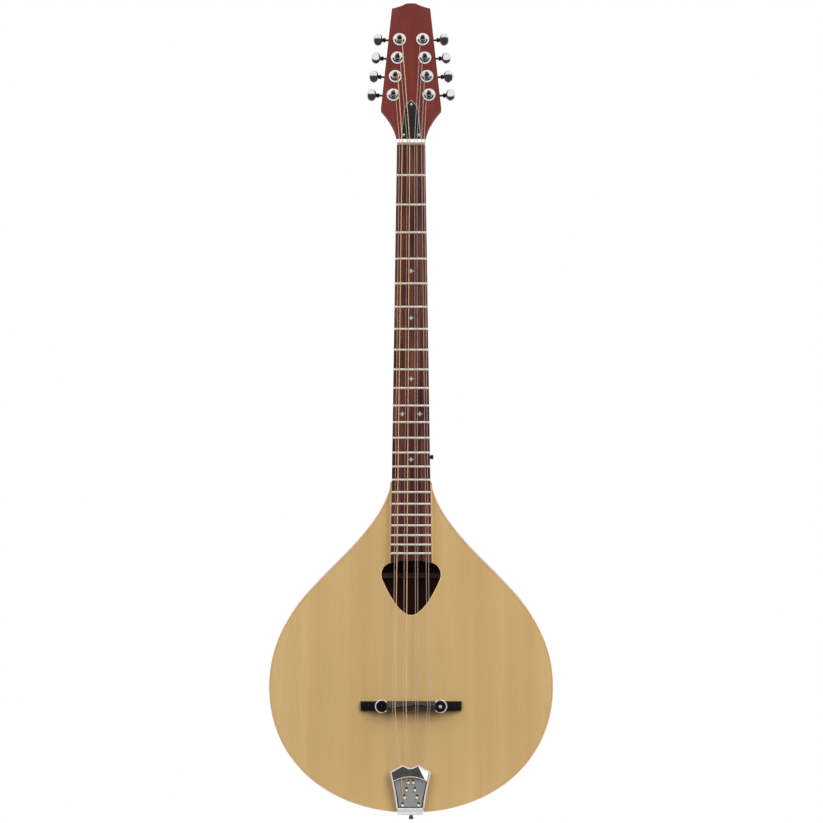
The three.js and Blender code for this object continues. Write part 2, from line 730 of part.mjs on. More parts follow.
// A strap's button, standing on y = 0 and widening to a flat-topped head.
function strapButton() {
  const { high, neck, head } = BUTTON_POST;
  const profile = [
    [0, 0],
    [neck + 0.6, 0],
    [neck, 0.4 * high],
    [head, 0.72 * high],
    [head, 0.9 * high],
    [head - 1, high],
    [0, high],
  ];
  return turned(profile, 16);
}

function buildButtons() {
  const tailZ = TAIL_Z - STRAP_THICK - 2 * GLUE;
  keep("end_pin", strapButton().rotate([-90, 0, 0]).translate([0, END_PIN_Y, tailZ]), COLOURS.chrome);
  const { y, z } = STRAP_BUTTON;
  const onHeel = strapButton().rotate([0, 0, -90]).translate([HEEL_HALF + GLUE, y, z]);
  keep("strap_button", onHeel, COLOURS.chrome);
}

// ---- the strings ----

// A line of straight steps through given points.
class Steps extends THREE.Curve {
  constructor(points) {
    super();
    this.points = points;
  }
  getPoint(t, target = new THREE.Vector3()) {
    const along = t * (this.points.length - 1);
    const i = Math.min(Math.floor(along), this.points.length - 2);
    return target.copy(this.points[i]).lerp(this.points[i + 1], along - i);
  }
  getPointAt(u, target) {
    return this.getPoint(u, target);
  }
  getTangentAt(u, target = new THREE.Vector3()) {
    const i = Math.round(u * (this.points.length - 1));
    const before = this.points[Math.max(i - 1, 0)];
    const after = this.points[Math.min(i + 1, this.points.length - 1)];
    return target.copy(after).sub(before).normalize();
  }
}

function stringPath(i) {
  const radius = WOUND[i] ? STRING_RADIUS.wound : STRING_RADIUS.plain;
  const left = i < 4;
  const tuner = left ? i : 7 - i;
  const inNeck = (x, y, z) => new THREE.Vector3(x, y, z).applyMatrix4(TO_NECK);
  const inHead = (x, y, z) => new THREE.Vector3(x, y, z).applyMatrix4(TO_HEAD);
  const points = [];
  const [pinX, pinZ] = PINS[i];
  const beside = 2 + radius + GLUE;
  const tailY = TAIL.front - radius - GLUE;
  points.push(new THREE.Vector3(pinX + (left ? -beside : beside), tailY, pinZ - 1));
  points.push(new THREE.Vector3(EDGE_X[i], tailY, TAIL_Z + 53));
  const crestZ = BRIDGE_Z + RIDGE.offsets[Math.floor(i / 2)];
  points.push(new THREE.Vector3(SADDLE_X[i], RIDGE.front - radius - 3 * GLUE, crestZ));
  points.push(inNeck(NUT_X[i], -FRET.zeroHigh - radius - GLUE, 0));
  points.push(inNeck(NUT_X[i], -0.6 - radius, 5));

  // The last part goes round the post's waist, from its inner side.
  const side = left ? -1 : 1;
  const round = POST.waist + radius + GLUE;
  const turn = 3 * Math.PI / 4;
  const count = 6;
  for (let k = 0; k <= count; k++) {
    const angle = Math.PI - (turn * k) / count;
    const x = side * (TUNER_X[tuner] + round * Math.cos(angle));
    points.push(inHead(x, -5.2, TUNER_Z[tuner] + round * Math.sin(angle)));
  }
  return { points, radius };
}

function buildStrings() {
  WOUND.forEach((wound, i) => {
    const { points, radius } = stringPath(i);
    const section = new THREE.Shape().absarc(0, 0, radius, 0, 2 * Math.PI);
    const geometry = new THREE.ExtrudeGeometry(section, {
      steps: points.length - 1,
      extrudePath: new Steps(points),
      curveSegments: 3,
    });
    keep(`string_${i + 1}`, solid(geometry), wound ? COLOURS.bronze : COLOURS.steel);
  });
}

buildBody();
buildBraces();
buildNeck();
buildTrussRod();
buildFretboard();
buildFrets();
buildNut();
buildTuners();
buildBridge();
buildTailpiece();
buildButtons();
buildStrings();

export default group;
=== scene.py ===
# An eight-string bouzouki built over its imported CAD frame. Lengths in the tables and in the
# shape functions are millimetres, and every mesh is scaled to metres when it is made.
import bpy
import bmesh
import json
from math import atan, copysign, cos, exp, hypot, pi, radians, sin, sqrt, tan
from mathutils import Matrix, Vector


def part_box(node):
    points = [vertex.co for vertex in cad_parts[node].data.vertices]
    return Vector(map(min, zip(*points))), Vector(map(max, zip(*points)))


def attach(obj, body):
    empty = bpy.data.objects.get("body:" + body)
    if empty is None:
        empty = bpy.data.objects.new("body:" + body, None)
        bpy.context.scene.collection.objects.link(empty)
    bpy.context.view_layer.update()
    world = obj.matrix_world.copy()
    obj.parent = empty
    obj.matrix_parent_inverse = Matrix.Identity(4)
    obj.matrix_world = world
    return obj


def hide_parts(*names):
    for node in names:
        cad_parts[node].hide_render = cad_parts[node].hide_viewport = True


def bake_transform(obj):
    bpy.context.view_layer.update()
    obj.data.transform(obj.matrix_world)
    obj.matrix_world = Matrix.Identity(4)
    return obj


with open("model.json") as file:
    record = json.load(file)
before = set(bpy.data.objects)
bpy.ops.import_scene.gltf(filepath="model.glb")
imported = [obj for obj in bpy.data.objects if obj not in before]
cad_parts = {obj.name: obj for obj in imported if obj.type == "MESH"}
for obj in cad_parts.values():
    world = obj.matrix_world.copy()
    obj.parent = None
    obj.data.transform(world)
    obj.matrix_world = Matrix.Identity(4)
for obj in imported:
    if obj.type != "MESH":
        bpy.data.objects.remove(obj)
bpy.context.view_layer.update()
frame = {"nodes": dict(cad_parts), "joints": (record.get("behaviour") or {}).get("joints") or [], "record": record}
MM = 0.001
ROOT = "instrument"
JOINTS = {joint["name"]: joint for joint in frame["joints"]}
SIDES = ("bass", "treble")

# The strings' scale, the fretboard and the frets.
SCALE = 668
FRET_COUNT = 23
BOARD_TOP, BOARD_END, BOARD_HOLLOW, BOARD_THICK = 1.5, -499.4, 2.4, 6.0
NUT_HALF, END_HALF = 17.0, 24.5
MARKED_FRETS = {5: (0,), 7: (0,), 10: (0,), 12: (-10.5, 10.5), 15: (0,)}

# The body.
TOP_FACE, TOP_THICK = -7.4, 3.0
BACK_FACE, BACK_THICK = 77.6, 3.2
RIM_THICK = 2.6
BINDING = 1.7
SHOULDER = (24.3, -406.0)
FLANK = (116.85, -531.1)
FLANK_LEAN = radians(42.27)
WIDEST = (170.2, -650.9)
TAIL_Z = -801.8

# The neck and the headstock, which lean back.
NECK_LEAN = radians(2)
HEAD_LEAN = radians(14)
HEAD_AT = (4.0, 6.0)
HEAD_THICK, VENEER = 15.0, 1.0
HEAD_TIP = (6.2, 173.5)
HEAD_CORNER = (23.2, 167.2)
HEAD_SHOULDER = (36.3, 39.6)
TO_NECK = Matrix.Rotation(-NECK_LEAN, 4, "X")
TO_HEAD = TO_NECK @ Matrix.Translation((0, *HEAD_AT)) @ Matrix.Rotation(-HEAD_LEAN, 4, "X")
HEEL_START, HEEL_DEEP = -318, 93
ROD_Y = 12.5

# The tuners.
TUNER_X = (21.5, 19.0, 16.5, 14.0)
TUNER_Z = (56.5, 80.2, 103.8, 127.5)
WORM_DEPTH, WORM_OFFSET = 20.0, 5.3
TEETH = 14
POST_WAIST, POST_BORE = 2.4, 3.35
# how far each button is turned from square, in degrees, from the nut to the headstock's tip
BUTTON_TURN = {"bass": (6, 5, -8, 7), "treble": (-6, 10, -9, 12)}
WORM_PITCH = 2 * pi * 3.4 / TEETH
WORM_RADIUS, GEAR_RADIUS, TOOTH_HALF = 1.9, 3.3, 0.42

# The strings, from the bass side to the treble side.
NUT_X = (-14.0, -10.7, -4.6, -1.7, 4.1, 7.0, 12.5, 15.6)
SADDLE_X = (-22.0, -19.2, -9.4, -5.9, 5.4, 8.2, 19.9, 22.7)
EDGE_X = (-17.3, -13.2, -7.9, -4.2, 2.4, 6.6, 13.6, 17.4)
WOUND = (False, True, False, True, False, False, False, False)
PLAIN_RADIUS, WOUND_RADIUS = 0.25, 0.5
TOUCHING = 0.05  # the gap between a string and what it lies against
ZERO_HIGH, FRET_HIGH = 1.25, 1.0

# The bridge and the tailpiece.
BRIDGE_Z = -673.7
BRIDGE_HALF, BRIDGE_DEEP, BRIDGE_WAIST = 60.5, 11.2, 44.0
STUD_X = 35.0
RIDGE_FRONT = -28.6
RIDGE_STEPS = (-1.8, -0.2, 1.7, 0.7)
TAIL_X = -0.9
TAIL_FRONT = -18.0
HOOK_RADIUS, HOLE_RADIUS, HOLE_ABOVE = 1.25, 1.75, 2.5
PINS = ((-10.2, -792.4), (-7.9, -783.3), (-5.5, -774.4), (-3.4, -765.4),
        (2.6, -765.4), (4.6, -774.4), (7.0, -783.3), (9.0, -792.4))


# ---- materials ----

def srgb(red, green, blue):
    """A colour given as 0 to 255 in sRGB, as linear red, green, blue and alpha."""
    def linear(level):
        level /= 255
        return level / 12.92 if level <= 0.04045 else ((level + 0.055) / 1.055) ** 2.4
    return (linear(red), linear(green), linear(blue), 1.0)


def grey(level):
    return (level, level, level, 1.0)


def dimmed(colour, share):
    return tuple(share * level for level in colour[:3]) + (1,)


class Nodes:
    """The nodes of a material or a world, made one after another."""

    def __init__(self, owner):
        owner.use_nodes = True
        self.tree = owner.node_tree

    def node(self, kind, **settings):
        """A new node. A setting named like an input gives that input its value or its link."""
        made = self.tree.nodes.new("ShaderNode" + kind)
        for key, value in settings.items():
            socket = made.inputs.get(key.replace("_", " "))
            if socket:
                self.feed(socket, value)
            else:
                setattr(made, key, value)
        return made

    def feed(self, socket, value):
        if isinstance(value, bpy.types.NodeSocket):
            self.tree.links.new(value, socket)
        else:
            socket.default_value = value


class Paint(Nodes):
    """A material and the patterns that colour, dull and roughen it."""

    def __init__(self, name, **values):
        self.material = bpy.data.materials.new(name)
        super().__init__(self.material)
        self.shader = self.tree.nodes["Principled BSDF"]
        for key, value in values.items():
            self.feed(self.shader.inputs[key.replace("_", " ")], value)
        self.place = self.node("TexCoord").outputs["Object"]

    def stretched(self, vector, scale):
        return self.node("Mapping", Vector=vector, Scale=scale).outputs["Vector"]

    def noise(self, vector, size, detail, roughness=0.5, distortion=0.0):
        made = self.node("TexNoise", Vector=vector, Scale=size, Detail=detail,
                         Roughness=roughness, Distortion=distortion)
        return made.outputs["Fac"]

    def ramp(self, source, stops):
        made = self.node("ValToRGB", Fac=source)
        elements = made.color_ramp.elements
        while len(elements) < len(stops):
            elements.new(0.5)
        for element, (at, colour) in zip(elements, stops):
            element.position = at
            element.color = colour
        return made.outputs["Color"]

    def mix(self, factor, one, two, blend="MIX"):
        made = self.node("Mix", data_type="RGBA", blend_type=blend)
        for number, value in ((0, factor), (6, one), (7, two)):
            self.feed(made.inputs[number], value)
        return made.outputs[2]

    def colour(self, source):
        self.feed(self.shader.inputs["Base Color"], source)

    def rough(self, source, low, high):
        made = self.node("MapRange", Value=source, To_Min=low, To_Max=high)
        self.feed(self.shader.inputs["Roughness"], made.outputs["Result"])

    def bump(self, source, depth):
        made = self.node("Bump", Height=source, Strength=1.0, Distance=depth * MM)
        self.feed(self.shader.inputs["Normal"], made.outputs["Normal"])


def wood(name, *tones, line, streak, rough, coat=0.0, pores=0.0, bump=0.02, contrast=0.55,
         shine=0.5, along="Z", uv=False):
    """Timber whose grain runs along one axis: fine lines, broad streaks and open pores.

    The tones are its dark, middle and light colour in sRGB. line and streak are the widths in mm
    across which the fine lines and broad streaks vary.
    """
    dark, mid, light = (srgb(*tone) for tone in tones)
    paint = Paint(name, Coat_Weight=coat, Coat_Roughness=0.15, Specular_IOR_Level=shine)
    place = paint.place
    if uv:
        place = paint.node("TexCoord").outputs["UV"]
    lengthwise = 0.03
    scale = {"X": (lengthwise, 1, 1), "Z": (1, 1, lengthwise)}[along]
    run = paint.stretched(place, scale)
    fine = paint.noise(run, 1 / (line * MM), detail=4, roughness=0.6)
    broad = paint.noise(run, 1 / (streak * MM), detail=3, distortion=0.3)
    blotch = paint.noise(place, 12, detail=2)
    base = paint.ramp(broad, [(0.3, dark), (0.5, mid), (0.7, light)])
    lines = paint.ramp(fine, [(0.3, grey(0.62)), (0.5, grey(0.95)), (0.7, grey(1.1))])
    tinted = paint.mix(contrast, base, lines, "MULTIPLY")
    patches = paint.ramp(blotch, [(0.3, grey(0.86)), (0.7, grey(1.08))])
    tinted = paint.mix(contrast, tinted, patches, "MULTIPLY")
    height = fine
    if pores:
        cells = paint.noise(run, 1 / (0.35 * MM), detail=1)
        share = paint.ramp(cells, [(0.3, grey(pores)), (0.38, grey(0))])
        tinted = paint.mix(share, tinted, dimmed(dark, 0.45))
        height = paint.ramp(cells, [(0.3, grey(0)), (0.42, grey(1))])
    paint.colour(tinted)
    paint.rough(fine, *rough)
    paint.bump(height, bump)
    return paint.material


def metal(name, tint, rough, smear=0.06, scratch=0.004, metallic=1.0, patch_dimming=0.06):
    """Metal whose colour is darkened in random patches by up to a given share: random tone where the share is
    small, painted reflection on the tailpiece's hood where it is large.
    """
    paint = Paint(name, Metallic=metallic, Roughness=rough)
    cloud = paint.noise(paint.place, 90, detail=4)
    paint.colour(paint.ramp(cloud, [(0.35, dimmed(tint, 1 - patch_dimming)), (0.65, tint)]))
    paint.rough(cloud, max(0.02, rough - smear), rough + smear)
    paint.bump(paint.noise(paint.place, 900, detail=2), scratch)
    return paint.material


def plastic(name, colour, rough, shine=0.5):
    paint = Paint(name, Specular_IOR_Level=shine)
    cloud = paint.noise(paint.place, 140, detail=3)
    paint.colour(paint.ramp(cloud, [(0.3, dimmed(colour, 0.85)), (0.7, colour)]))
    paint.rough(cloud, rough - 0.06, rough + 0.08)
    paint.bump(paint.noise(paint.place, 700, detail=2), 0.01)
    return paint.material


def pearl(name):
    paint = Paint(name, Coat_Weight=0.6, Roughness=0.18)
    swirl = paint.noise(paint.stretched(paint.place, (1, 1, 0.6)), 900, detail=3, distortion=1.5)
    paint.colour(paint.ramp(swirl, [
        (0.3, srgb(92, 104, 116)), (0.45, srgb(170, 176, 178)),
        (0.55, srgb(214, 220, 222)), (0.7, srgb(120, 130, 142))]))
    paint.rough(swirl, 0.12, 0.3)
    return paint.material


def wound_wire(name, tint):
    """Wire with a fine winding round it: the turns cross the string's length."""
    paint = Paint(name, Metallic=0.35, Roughness=0.32)
    wave = paint.node("TexWave", Vector=paint.place, wave_type="BANDS", bands_direction="Z",
                      Scale=900)
    turns = wave.outputs["Fac"]
    # The darker colour in the bands is painted shade in the grooves between the turns.
    paint.colour(paint.ramp(turns, [(0.1, dimmed(tint, 0.7)), (0.7, tint)]))
    paint.rough(turns, 0.26, 0.42)
    paint.bump(turns, 0.05)
    return paint.material


SPRUCE = wood("spruce_top", (194, 159, 106), (200, 167, 113), (206, 174, 120),
              line=1.3, streak=34, rough=(0.4, 0.5), coat=0.1, bump=0.008, contrast=0.14)
# The braces are spruce, coloured darker and redder than the top: painted shade for their place inside the body.
SHADED_BRACE_WOOD = wood("inner_brace_wood_painted_shade", (126, 100, 96), (136, 110, 104), (144, 118, 110),
                  line=1.2, streak=14, rough=(0.6, 0.75), along="X")
HEAD_WOOD = wood("red_stained_mahogany", (102, 45, 40), (111, 50, 44), (119, 55, 47),
                 line=1.4, streak=22, rough=(0.5, 0.62), pores=0.2, bump=0.015,
                 contrast=0.3, shine=0.1)
SIDE_WOOD = wood("side_mahogany", (84, 38, 32), (102, 49, 40), (117, 60, 48),
                 line=1.6, streak=22, rough=(0.3, 0.42), coat=0.15, pores=0.3, uv=True, along="X")
BACK_WOOD = wood("back_mahogany", (80, 36, 31), (97, 47, 39), (112, 58, 47),
                 line=1.6, streak=24, rough=(0.3, 0.42), coat=0.15, pores=0.3)
ROSEWOOD = wood("rosewood", (40, 20, 17), (84, 45, 37), (120, 68, 55),
                line=0.9, streak=4.5, rough=(0.5, 0.65), pores=0.5, bump=0.03, shine=0.3)
EBONY = wood("black_hardwood", (12, 12, 16), (18, 18, 23), (25, 25, 30),
             line=1.0, streak=9, rough=(0.38, 0.5), bump=0.01, shine=0.2, along="X")
# A lighter brown-black copy of the saddle's black wood, for the saddle's bar: the lighter tone is painted sheen on
# the bar's slopes.
SHEEN_EBONY = wood("brown_black_hardwood_painted_sheen", (30, 27, 28), (52, 46, 45), (72, 62, 59),
                   line=0.9, streak=6, rough=(0.38, 0.5), bump=0.01, shine=0.3, along="X")
MAPLE = wood("pale_binding_wood", (206, 164, 118), (216, 174, 128), (224, 184, 138),
             line=1.0, streak=12, rough=(0.35, 0.5), coat=0.2, contrast=0.2)
PALE_WOOD = wood("pale_edge_wood", (242, 200, 142), (248, 208, 150), (252, 214, 158),
                 line=1.0, streak=12, rough=(0.4, 0.5), coat=0.1, contrast=0.15)
CHROME = metal("chrome", (0.86, 0.87, 0.88, 1), 0.06, smear=0.03)
# The tailpiece's hood: its large dark patches are painted reflection, standing in for the uneven mirror of the
# dark room in front.
REFLECTION_PATCH_CHROME = metal("chrome_painted_reflection_patches", srgb(232, 232, 228), 0.1, smear=0.04, metallic=0.94, patch_dimming=0.4)
CASE_METAL = metal("gear_case_metal", (0.42, 0.42, 0.43, 1), 0.22, patch_dimming=0.2)
SATIN_CHROME = metal("satin_chrome", srgb(172, 172, 168), 0.35, smear=0.05, metallic=0.35)
# Near-white chrome that is mostly diffuse, for the tailpiece's rims, strap and hooks and the treble stud: painted
# highlight, bright whatever it mirrors.
HIGHLIGHT_CHROME = metal("chrome_painted_highlight", srgb(250, 250, 250), 0.15, metallic=0.4)
NICKEL = metal("fret_nickel", srgb(252, 252, 238), 0.3, smear=0.03, scratch=0, metallic=0.5)
STEEL = metal("plain_steel_wire", srgb(222, 208, 200), 0.36, scratch=0, metallic=0.5)
# Near-black steel for the tuner posts: painted shade, darker than the posts' own metal.
SHADED_POST_STEEL = metal("post_steel_painted_shade", (0.1, 0.09, 0.095, 1), 0.3)
DARK_STEEL = metal("dark_steel", (0.12, 0.12, 0.125, 1), 0.35)
BRONZE = wound_wire("bronze_winding", srgb(255, 208, 158))
BRASS = metal("pale_brass", srgb(216, 204, 156), 0.3, metallic=0.7)
BONE = plastic("bone", srgb(255, 254, 250), 0.35)
BLACK_PLASTIC = plastic("black_cover_plastic", srgb(25, 27, 30), 0.24, shine=0.2)
PALE_PLASTIC = plastic("pale_cover_edge", srgb(186, 188, 186), 0.4)
PEARL = pearl("mother_of_pearl")


# ---- mesh helpers ----

def keep(obj, material, body=ROOT, replaces=()):
    """Gives a finished mesh its material and the body that it rides on."""
    repaint(obj, material)
    if body:
        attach(obj, body)
    if replaces:
        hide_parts(*replaces)
    return obj


def linked(name, data):
    """A new object in the scene that holds the given mesh, curve, lamp or camera."""
    obj = bpy.data.objects.new(name, data)
    bpy.context.scene.collection.objects.link(obj)
    return obj


def cleaned(mesh):
    """Joins a mesh's doubled points and turns its faces outwards."""
    work = bmesh.new()
    work.from_mesh(mesh)
    bmesh.ops.remove_doubles(work, verts=work.verts, dist=1e-7)
    bmesh.ops.recalc_face_normals(work, faces=work.faces)
    work.to_mesh(mesh)
    work.free()


def shaded(obj, angle):
    """Smooth shading, except at edges sharper than the angle in degrees."""
    obj.data.polygons.foreach_set("use_smooth", [True] * len(obj.data.polygons))
    obj.data.set_sharp_from_angle(angle=radians(angle))
    return obj


def repaint(obj, material):
    obj.data.materials.clear()
    obj.data.materials.append(material)


def mesh_object(name, verts, faces, smooth=40):
    """A mesh from points in mm. Edges sharper than smooth degrees stay sharp."""
    mesh = bpy.data.meshes.new(name)
    mesh.from_pydata([Vector(v) * MM for v in verts], [], faces)
    cleaned(mesh)
    return shaded(linked(name, mesh), smooth)


def baked(obj, smooth=40):
    """The object with its modifiers, or its curve, turned into a plain mesh."""
    bpy.context.view_layer.update()
    graph = bpy.context.evaluated_depsgraph_get()
    mesh = bpy.data.meshes.new_from_object(obj.evaluated_get(graph))
    name = obj.name
    bpy.data.objects.remove(obj)
    return shaded(linked(name, mesh), smooth)


def placed(obj, matrix):
    """Moves a mesh by a matrix whose shift is in mm, turning mirrored faces right side out."""
    metres = matrix.copy()
    metres.translation = matrix.translation * MM
    obj.data.transform(metres)
    if matrix.determinant() < 0:
        obj.data.flip_normals()
    return obj


# turns a shape drawn in X and Y up into X and Z
STAND = Matrix(((1, 0, 0, 0), (0, 0, -1, 0), (0, 1, 0, 0), (0, 0, 0, 1)))


def plate(name, outlines, front, back, edge=0.0, steps=2):
    """A plate from closed outlines in X and Z: the first is its rim, the others are holes.

    It reaches from y = front to y = back, and its corners are rounded to the radius edge.
    """
    curve = bpy.data.curves.new(name, "CURVE")
    curve.dimensions = "2D"
    curve.fill_mode = "BOTH"
    curve.extrude = (back - front) / 2 * MM - edge * MM
    curve.bevel_depth = edge * MM
    curve.bevel_resolution = steps
    curve.offset = -edge * MM
    for outline in outlines:
        spline = curve.splines.new("POLY")
        spline.points.add(len(outline) - 1)
        for point, (x, z) in zip(spline.points, outline):
            point.co = (x * MM, z * MM, 0, 1)
        spline.use_cyclic_u = True
    made = baked(linked(name, curve))
    made.data.transform(STAND)
    made.data.transform(Matrix.Translation((0, (front + back) / 2 * MM, 0)))
    cleaned(made.data)
    return shaded(made, 40)


def loft(name, rings, smooth=40, closed=False):
    """Skins rings that have the same number of points, and caps the ends unless it is closed."""
    verts = [point for ring in rings for point in ring]
    count = len(rings[0])
    faces = []
    last = len(rings) if closed else len(rings) - 1
    for i in range(last):
        here, there = i * count, ((i + 1) % len(rings)) * count
        for k in range(count):
            nxt = (k + 1) % count
            faces.append((here + k, here + nxt, there + nxt, there + k))
    if not closed:
        faces.append(tuple(range(count)))
        faces.append(tuple(range(len(verts) - count, len(verts))))
    return mesh_object(name, verts, faces, smooth)


def angles(count):
    """Evenly spaced angles once round."""
    return [2 * pi * k / count for k in range(count)]


def lathe(name, profile, segments, smooth=35):
    """Turns a profile of (radius, y) about the Y axis. A profile that closes makes a ring."""
    closed = profile[0] == profile[-1]
    rings = []
    for radius, y in profile[:-1] if closed else profile:
        radius = max(radius, 0.001)
        rings.append([(radius * cos(a), y, radius * sin(a)) for a in angles(segments)])
    return loft(name, rings, smooth, closed=closed)


def rod(name, radius, start, end, segments):
    """A plain round rod along the Y axis."""
    return lathe(name, [(0, start), (radius, start), (radius, end), (0, end)], segments)


def tube(name, points, radius, sides=10):
    """A round wire along points."""
    points = [Vector(p) for p in points]
    side = None
    rings = []
    for i, point in enumerate(points):
        before = points[max(i - 1, 0)]
        after = points[min(i + 1, len(points) - 1)]
        along = (after - before).normalized()
        if side is None:
            side = along.orthogonal().normalized()
        side = (side - along * side.dot(along)).normalized()
        up = along.cross(side)
        rings.append([point + radius * (cos(a) * side + sin(a) * up)
                      for a in angles(sides)])
    return loft(name, rings, smooth=60)


def modify(obj, kind, **settings):
    modifier = obj.modifiers.new(kind.lower(), kind)
    for key, value in settings.items():
        setattr(modifier, key, value)


def bevelled(obj, width, segments=2, angle=30):
    """The mesh with its edges that are sharper than the angle rounded over width mm."""
    modify(obj, "BEVEL", width=width * MM, segments=segments, limit_method="ANGLE",
           angle_limit=radians(angle))
    return baked(obj)


def cut(obj, *cutters):
    """Subtracts other meshes from a mesh and removes them."""
    for cutter in cutters:
        modify(obj, "BOOLEAN", operation="DIFFERENCE", solver="EXACT", object=cutter)
    made = baked(obj)
    for cutter in cutters:
        bpy.data.objects.remove(cutter)
    return made


def block(name, xs, ys, zs):
    verts = [(x, y, z) for x in xs for y in ys for z in zs]
    faces = [(0, 1, 3, 2), (4, 6, 7, 5), (0, 4, 5, 1), (2, 3, 7, 6), (0, 2, 6, 4), (1, 5, 7, 3)]
    return mesh_object(name, verts, faces)


def circle(x, z, radius, count):
    return [(x + radius * cos(a), z + radius * sin(a)) for a in angles(count)]


def bezier(a, b, c, d, count):
    """Points along a curve from a towards d, without d itself."""
    points = []
    for k in range(count):
        t = k / count
        weights = ((1 - t) ** 3, 3 * t * (1 - t) ** 2, 3 * t * t * (1 - t), t ** 3)
        points.append(tuple(
            sum(w * p[axis] for w, p in zip(weights, (a, b, c, d))) for axis in range(2)))
    return points


def line(a, b, count):
    """Points from a towards b, without b itself."""
    wide, high = b[0] - a[0], b[1] - a[1]
    return [(a[0] + wide * k / count, a[1] + high * k / count) for k in range(count)]


def path(start, *steps):
    """Points along joined curves and lines, without the end of the last.

    Each step has the points that shape it, three for a curve and one for a line, and a count.
    """
    points = []
    for *shape, count in steps:
        points += (bezier if len(shape) == 3 else line)(start, *shape, count)
        start = shape[-1]
    return points


def mirrored(right):
    """A closed outline from its right half, which starts and ends near the middle plane."""
    left = [(-x, z) for x, z in reversed(right)]
    return right + left


# ---- the body ----

def half_outline():
    """The right half of the body's outline in X and Z, from the neck joint to the tail."""
    steps = 34
    x, z = FLANK
    sway, rise = sin(FLANK_LEAN), cos(FLANK_LEAN)
    return path(
        SHOULDER,
        ((SHOULDER[0] + 6.5, SHOULDER[1] - 47.5), (x - 40 * sway, z + 40 * rise), FLANK, steps),
        ((x + 16.9 * sway, z - 16.9 * rise), (WIDEST[0], WIDEST[1] + 66.9), WIDEST, steps),
        ((WIDEST[0], WIDEST[1] - 90.9), (96.9, TAIL_Z), (0, TAIL_Z), steps))


def inset(points, amount):
    """Moves the half outline inwards by amount."""
    moved = []
    for i, (x, z) in enumerate(points):
        before = points[max(i - 1, 0)]
        after = points[i + 1] if i + 1 < len(points) else (-x, z)
        along = Vector((after[0] - before[0], after[1] - before[1])).normalized()
        moved.append((x + amount * along.y, z - amount * along.x))
    moved[0] = (points[0][0] - amount, points[0][1] - amount)
    return moved


def body_outline(amount=0.0):
    right = inset(half_outline(), amount)
    return mirrored(right + [(0.02, TAIL_Z + amount)])


def soundhole(grow=0.0):
    """A triangle with rounded corners and one point down."""
    g = grow
    top, bottom = -499.4 + g, -565.1 - g
    right = path(
        (0.0, top),
        ((12, top), (21, -501 + g * 0.7), (27.5, -503.4 + g), 12),
        ((35 + g, -506.5), (38.2 + g, -516.5), (32.9 + g, -526.0), 16),
        ((28.6 + g, -536), (14, bottom), (0.0, bottom), 24))
    right[0] = (0.02, top)
    return mirrored(right + [(0.02, bottom)])


def build_body():
    outer = body_outline(BINDING)
    under = TOP_FACE + TOP_THICK
    top = plate("soundboard_top", [outer, soundhole(1.0)], TOP_FACE, under)
    keep(top, SPRUCE, replaces=["soundboard"])
    lip = plate("soundhole_edge", [soundhole(1.0), soundhole()], TOP_FACE, under, 0.3)
    keep(lip, PALE_WOOD)
    for name, front in (("top_binding", TOP_FACE), ("back_binding", BACK_FACE - TOP_THICK)):
        strip = plate(name, [body_outline(), outer], front, front + TOP_THICK, 0.6)
        keep(strip, MAPLE)
    back = plate("back_boards", [outer], BACK_FACE - BACK_THICK, BACK_FACE)
    keep(back, BACK_WOOD, replaces=["back_plate"])
    strip = block("back_centre_strip", (-1.6, 1.6), (BACK_FACE - 1, BACK_FACE + 0.02),
                  (TAIL_Z + BINDING + 0.3, SHOULDER[1] - BINDING - 0.3))
    keep(strip, MAPLE)
    build_sides()


def build_sides():
    """Bent sides, whose grain follows the outline: u runs round the body and v across it."""
    outer, inner = body_outline(), body_outline(RIM_THICK)
    front, back = TOP_FACE + TOP_THICK, BACK_FACE - TOP_THICK
    rings = []
    for (xo, zo), (xi, zi) in zip(outer, inner):
        rings.append([(xo, front, zo), (xo, back, zo), (xi, back, zi), (xi, front, zi)])
    sides = loft("bent_sides", rings, smooth=30, closed=True)
    layer = sides.data.uv_layers.new(name="grain")
    lengths = [0.0]
    for (xa, za), (xb, zb) in zip(outer, outer[1:]):
        lengths.append(lengths[-1] + hypot(xb - xa, zb - za))
    total = lengths[-1]
    for loop in sides.data.loops:
        x, y, z = sides.data.vertices[loop.vertex_index].co / MM
        gaps = [(xo - x) ** 2 + (zo - z) ** 2 for xo, zo in outer]
        nearest = gaps.index(min(gaps))
        along = min(lengths[nearest], total - lengths[nearest])
        layer.data[loop.index].uv = (along * MM, y * MM)
    keep(sides, SIDE_WOOD, replaces=["rim"])


def paint_inner_wood():
    inner = {"lining_wood": MAPLE, "spruce": SHADED_BRACE_WOOD}
    names = ("top_lining", "back_lining", "neck_block", "tail_block", "tone_bar_bass",
             "tone_bar_treble", "back_brace_upper", "back_brace_lower")
    slots = {part["node"]: part["material_slot"] for part in frame["record"]["subparts"]}
    for name in names:
        repaint(frame["nodes"][name], inner[slots[name]])


# ---- the neck ----

def board_half(z):
    return NUT_HALF + (END_HALF - NUT_HALF) * (BOARD_TOP - z) / (BOARD_TOP - BOARD_END)


def fret_z(number):
    return -SCALE * (1 - 2 ** (-number / 12))


def heel_depth(z):
    """How far behind the fretboard's surface the neck's back lies."""
    shaft = BOARD_THICK + 0.86 * board_half(z)
    if z > HEEL_START:
        return shaft
    curve = path(
        (22.9, HEEL_START),
        ((24.5, -352), (30, -364), (50, -370.5), 24),
        ((66, -375.5), (82, -381), (HEEL_DEEP, -385), 16))
    curve += [(HEEL_DEEP, -385), (HEEL_DEEP, -440)]
    for (ya, za), (yb, zb) in zip(curve, curve[1:]):
        if zb <= z <= za and za > zb:
            return ya + (yb - ya) * (za - z) / (za - zb)
    return HEEL_DEEP


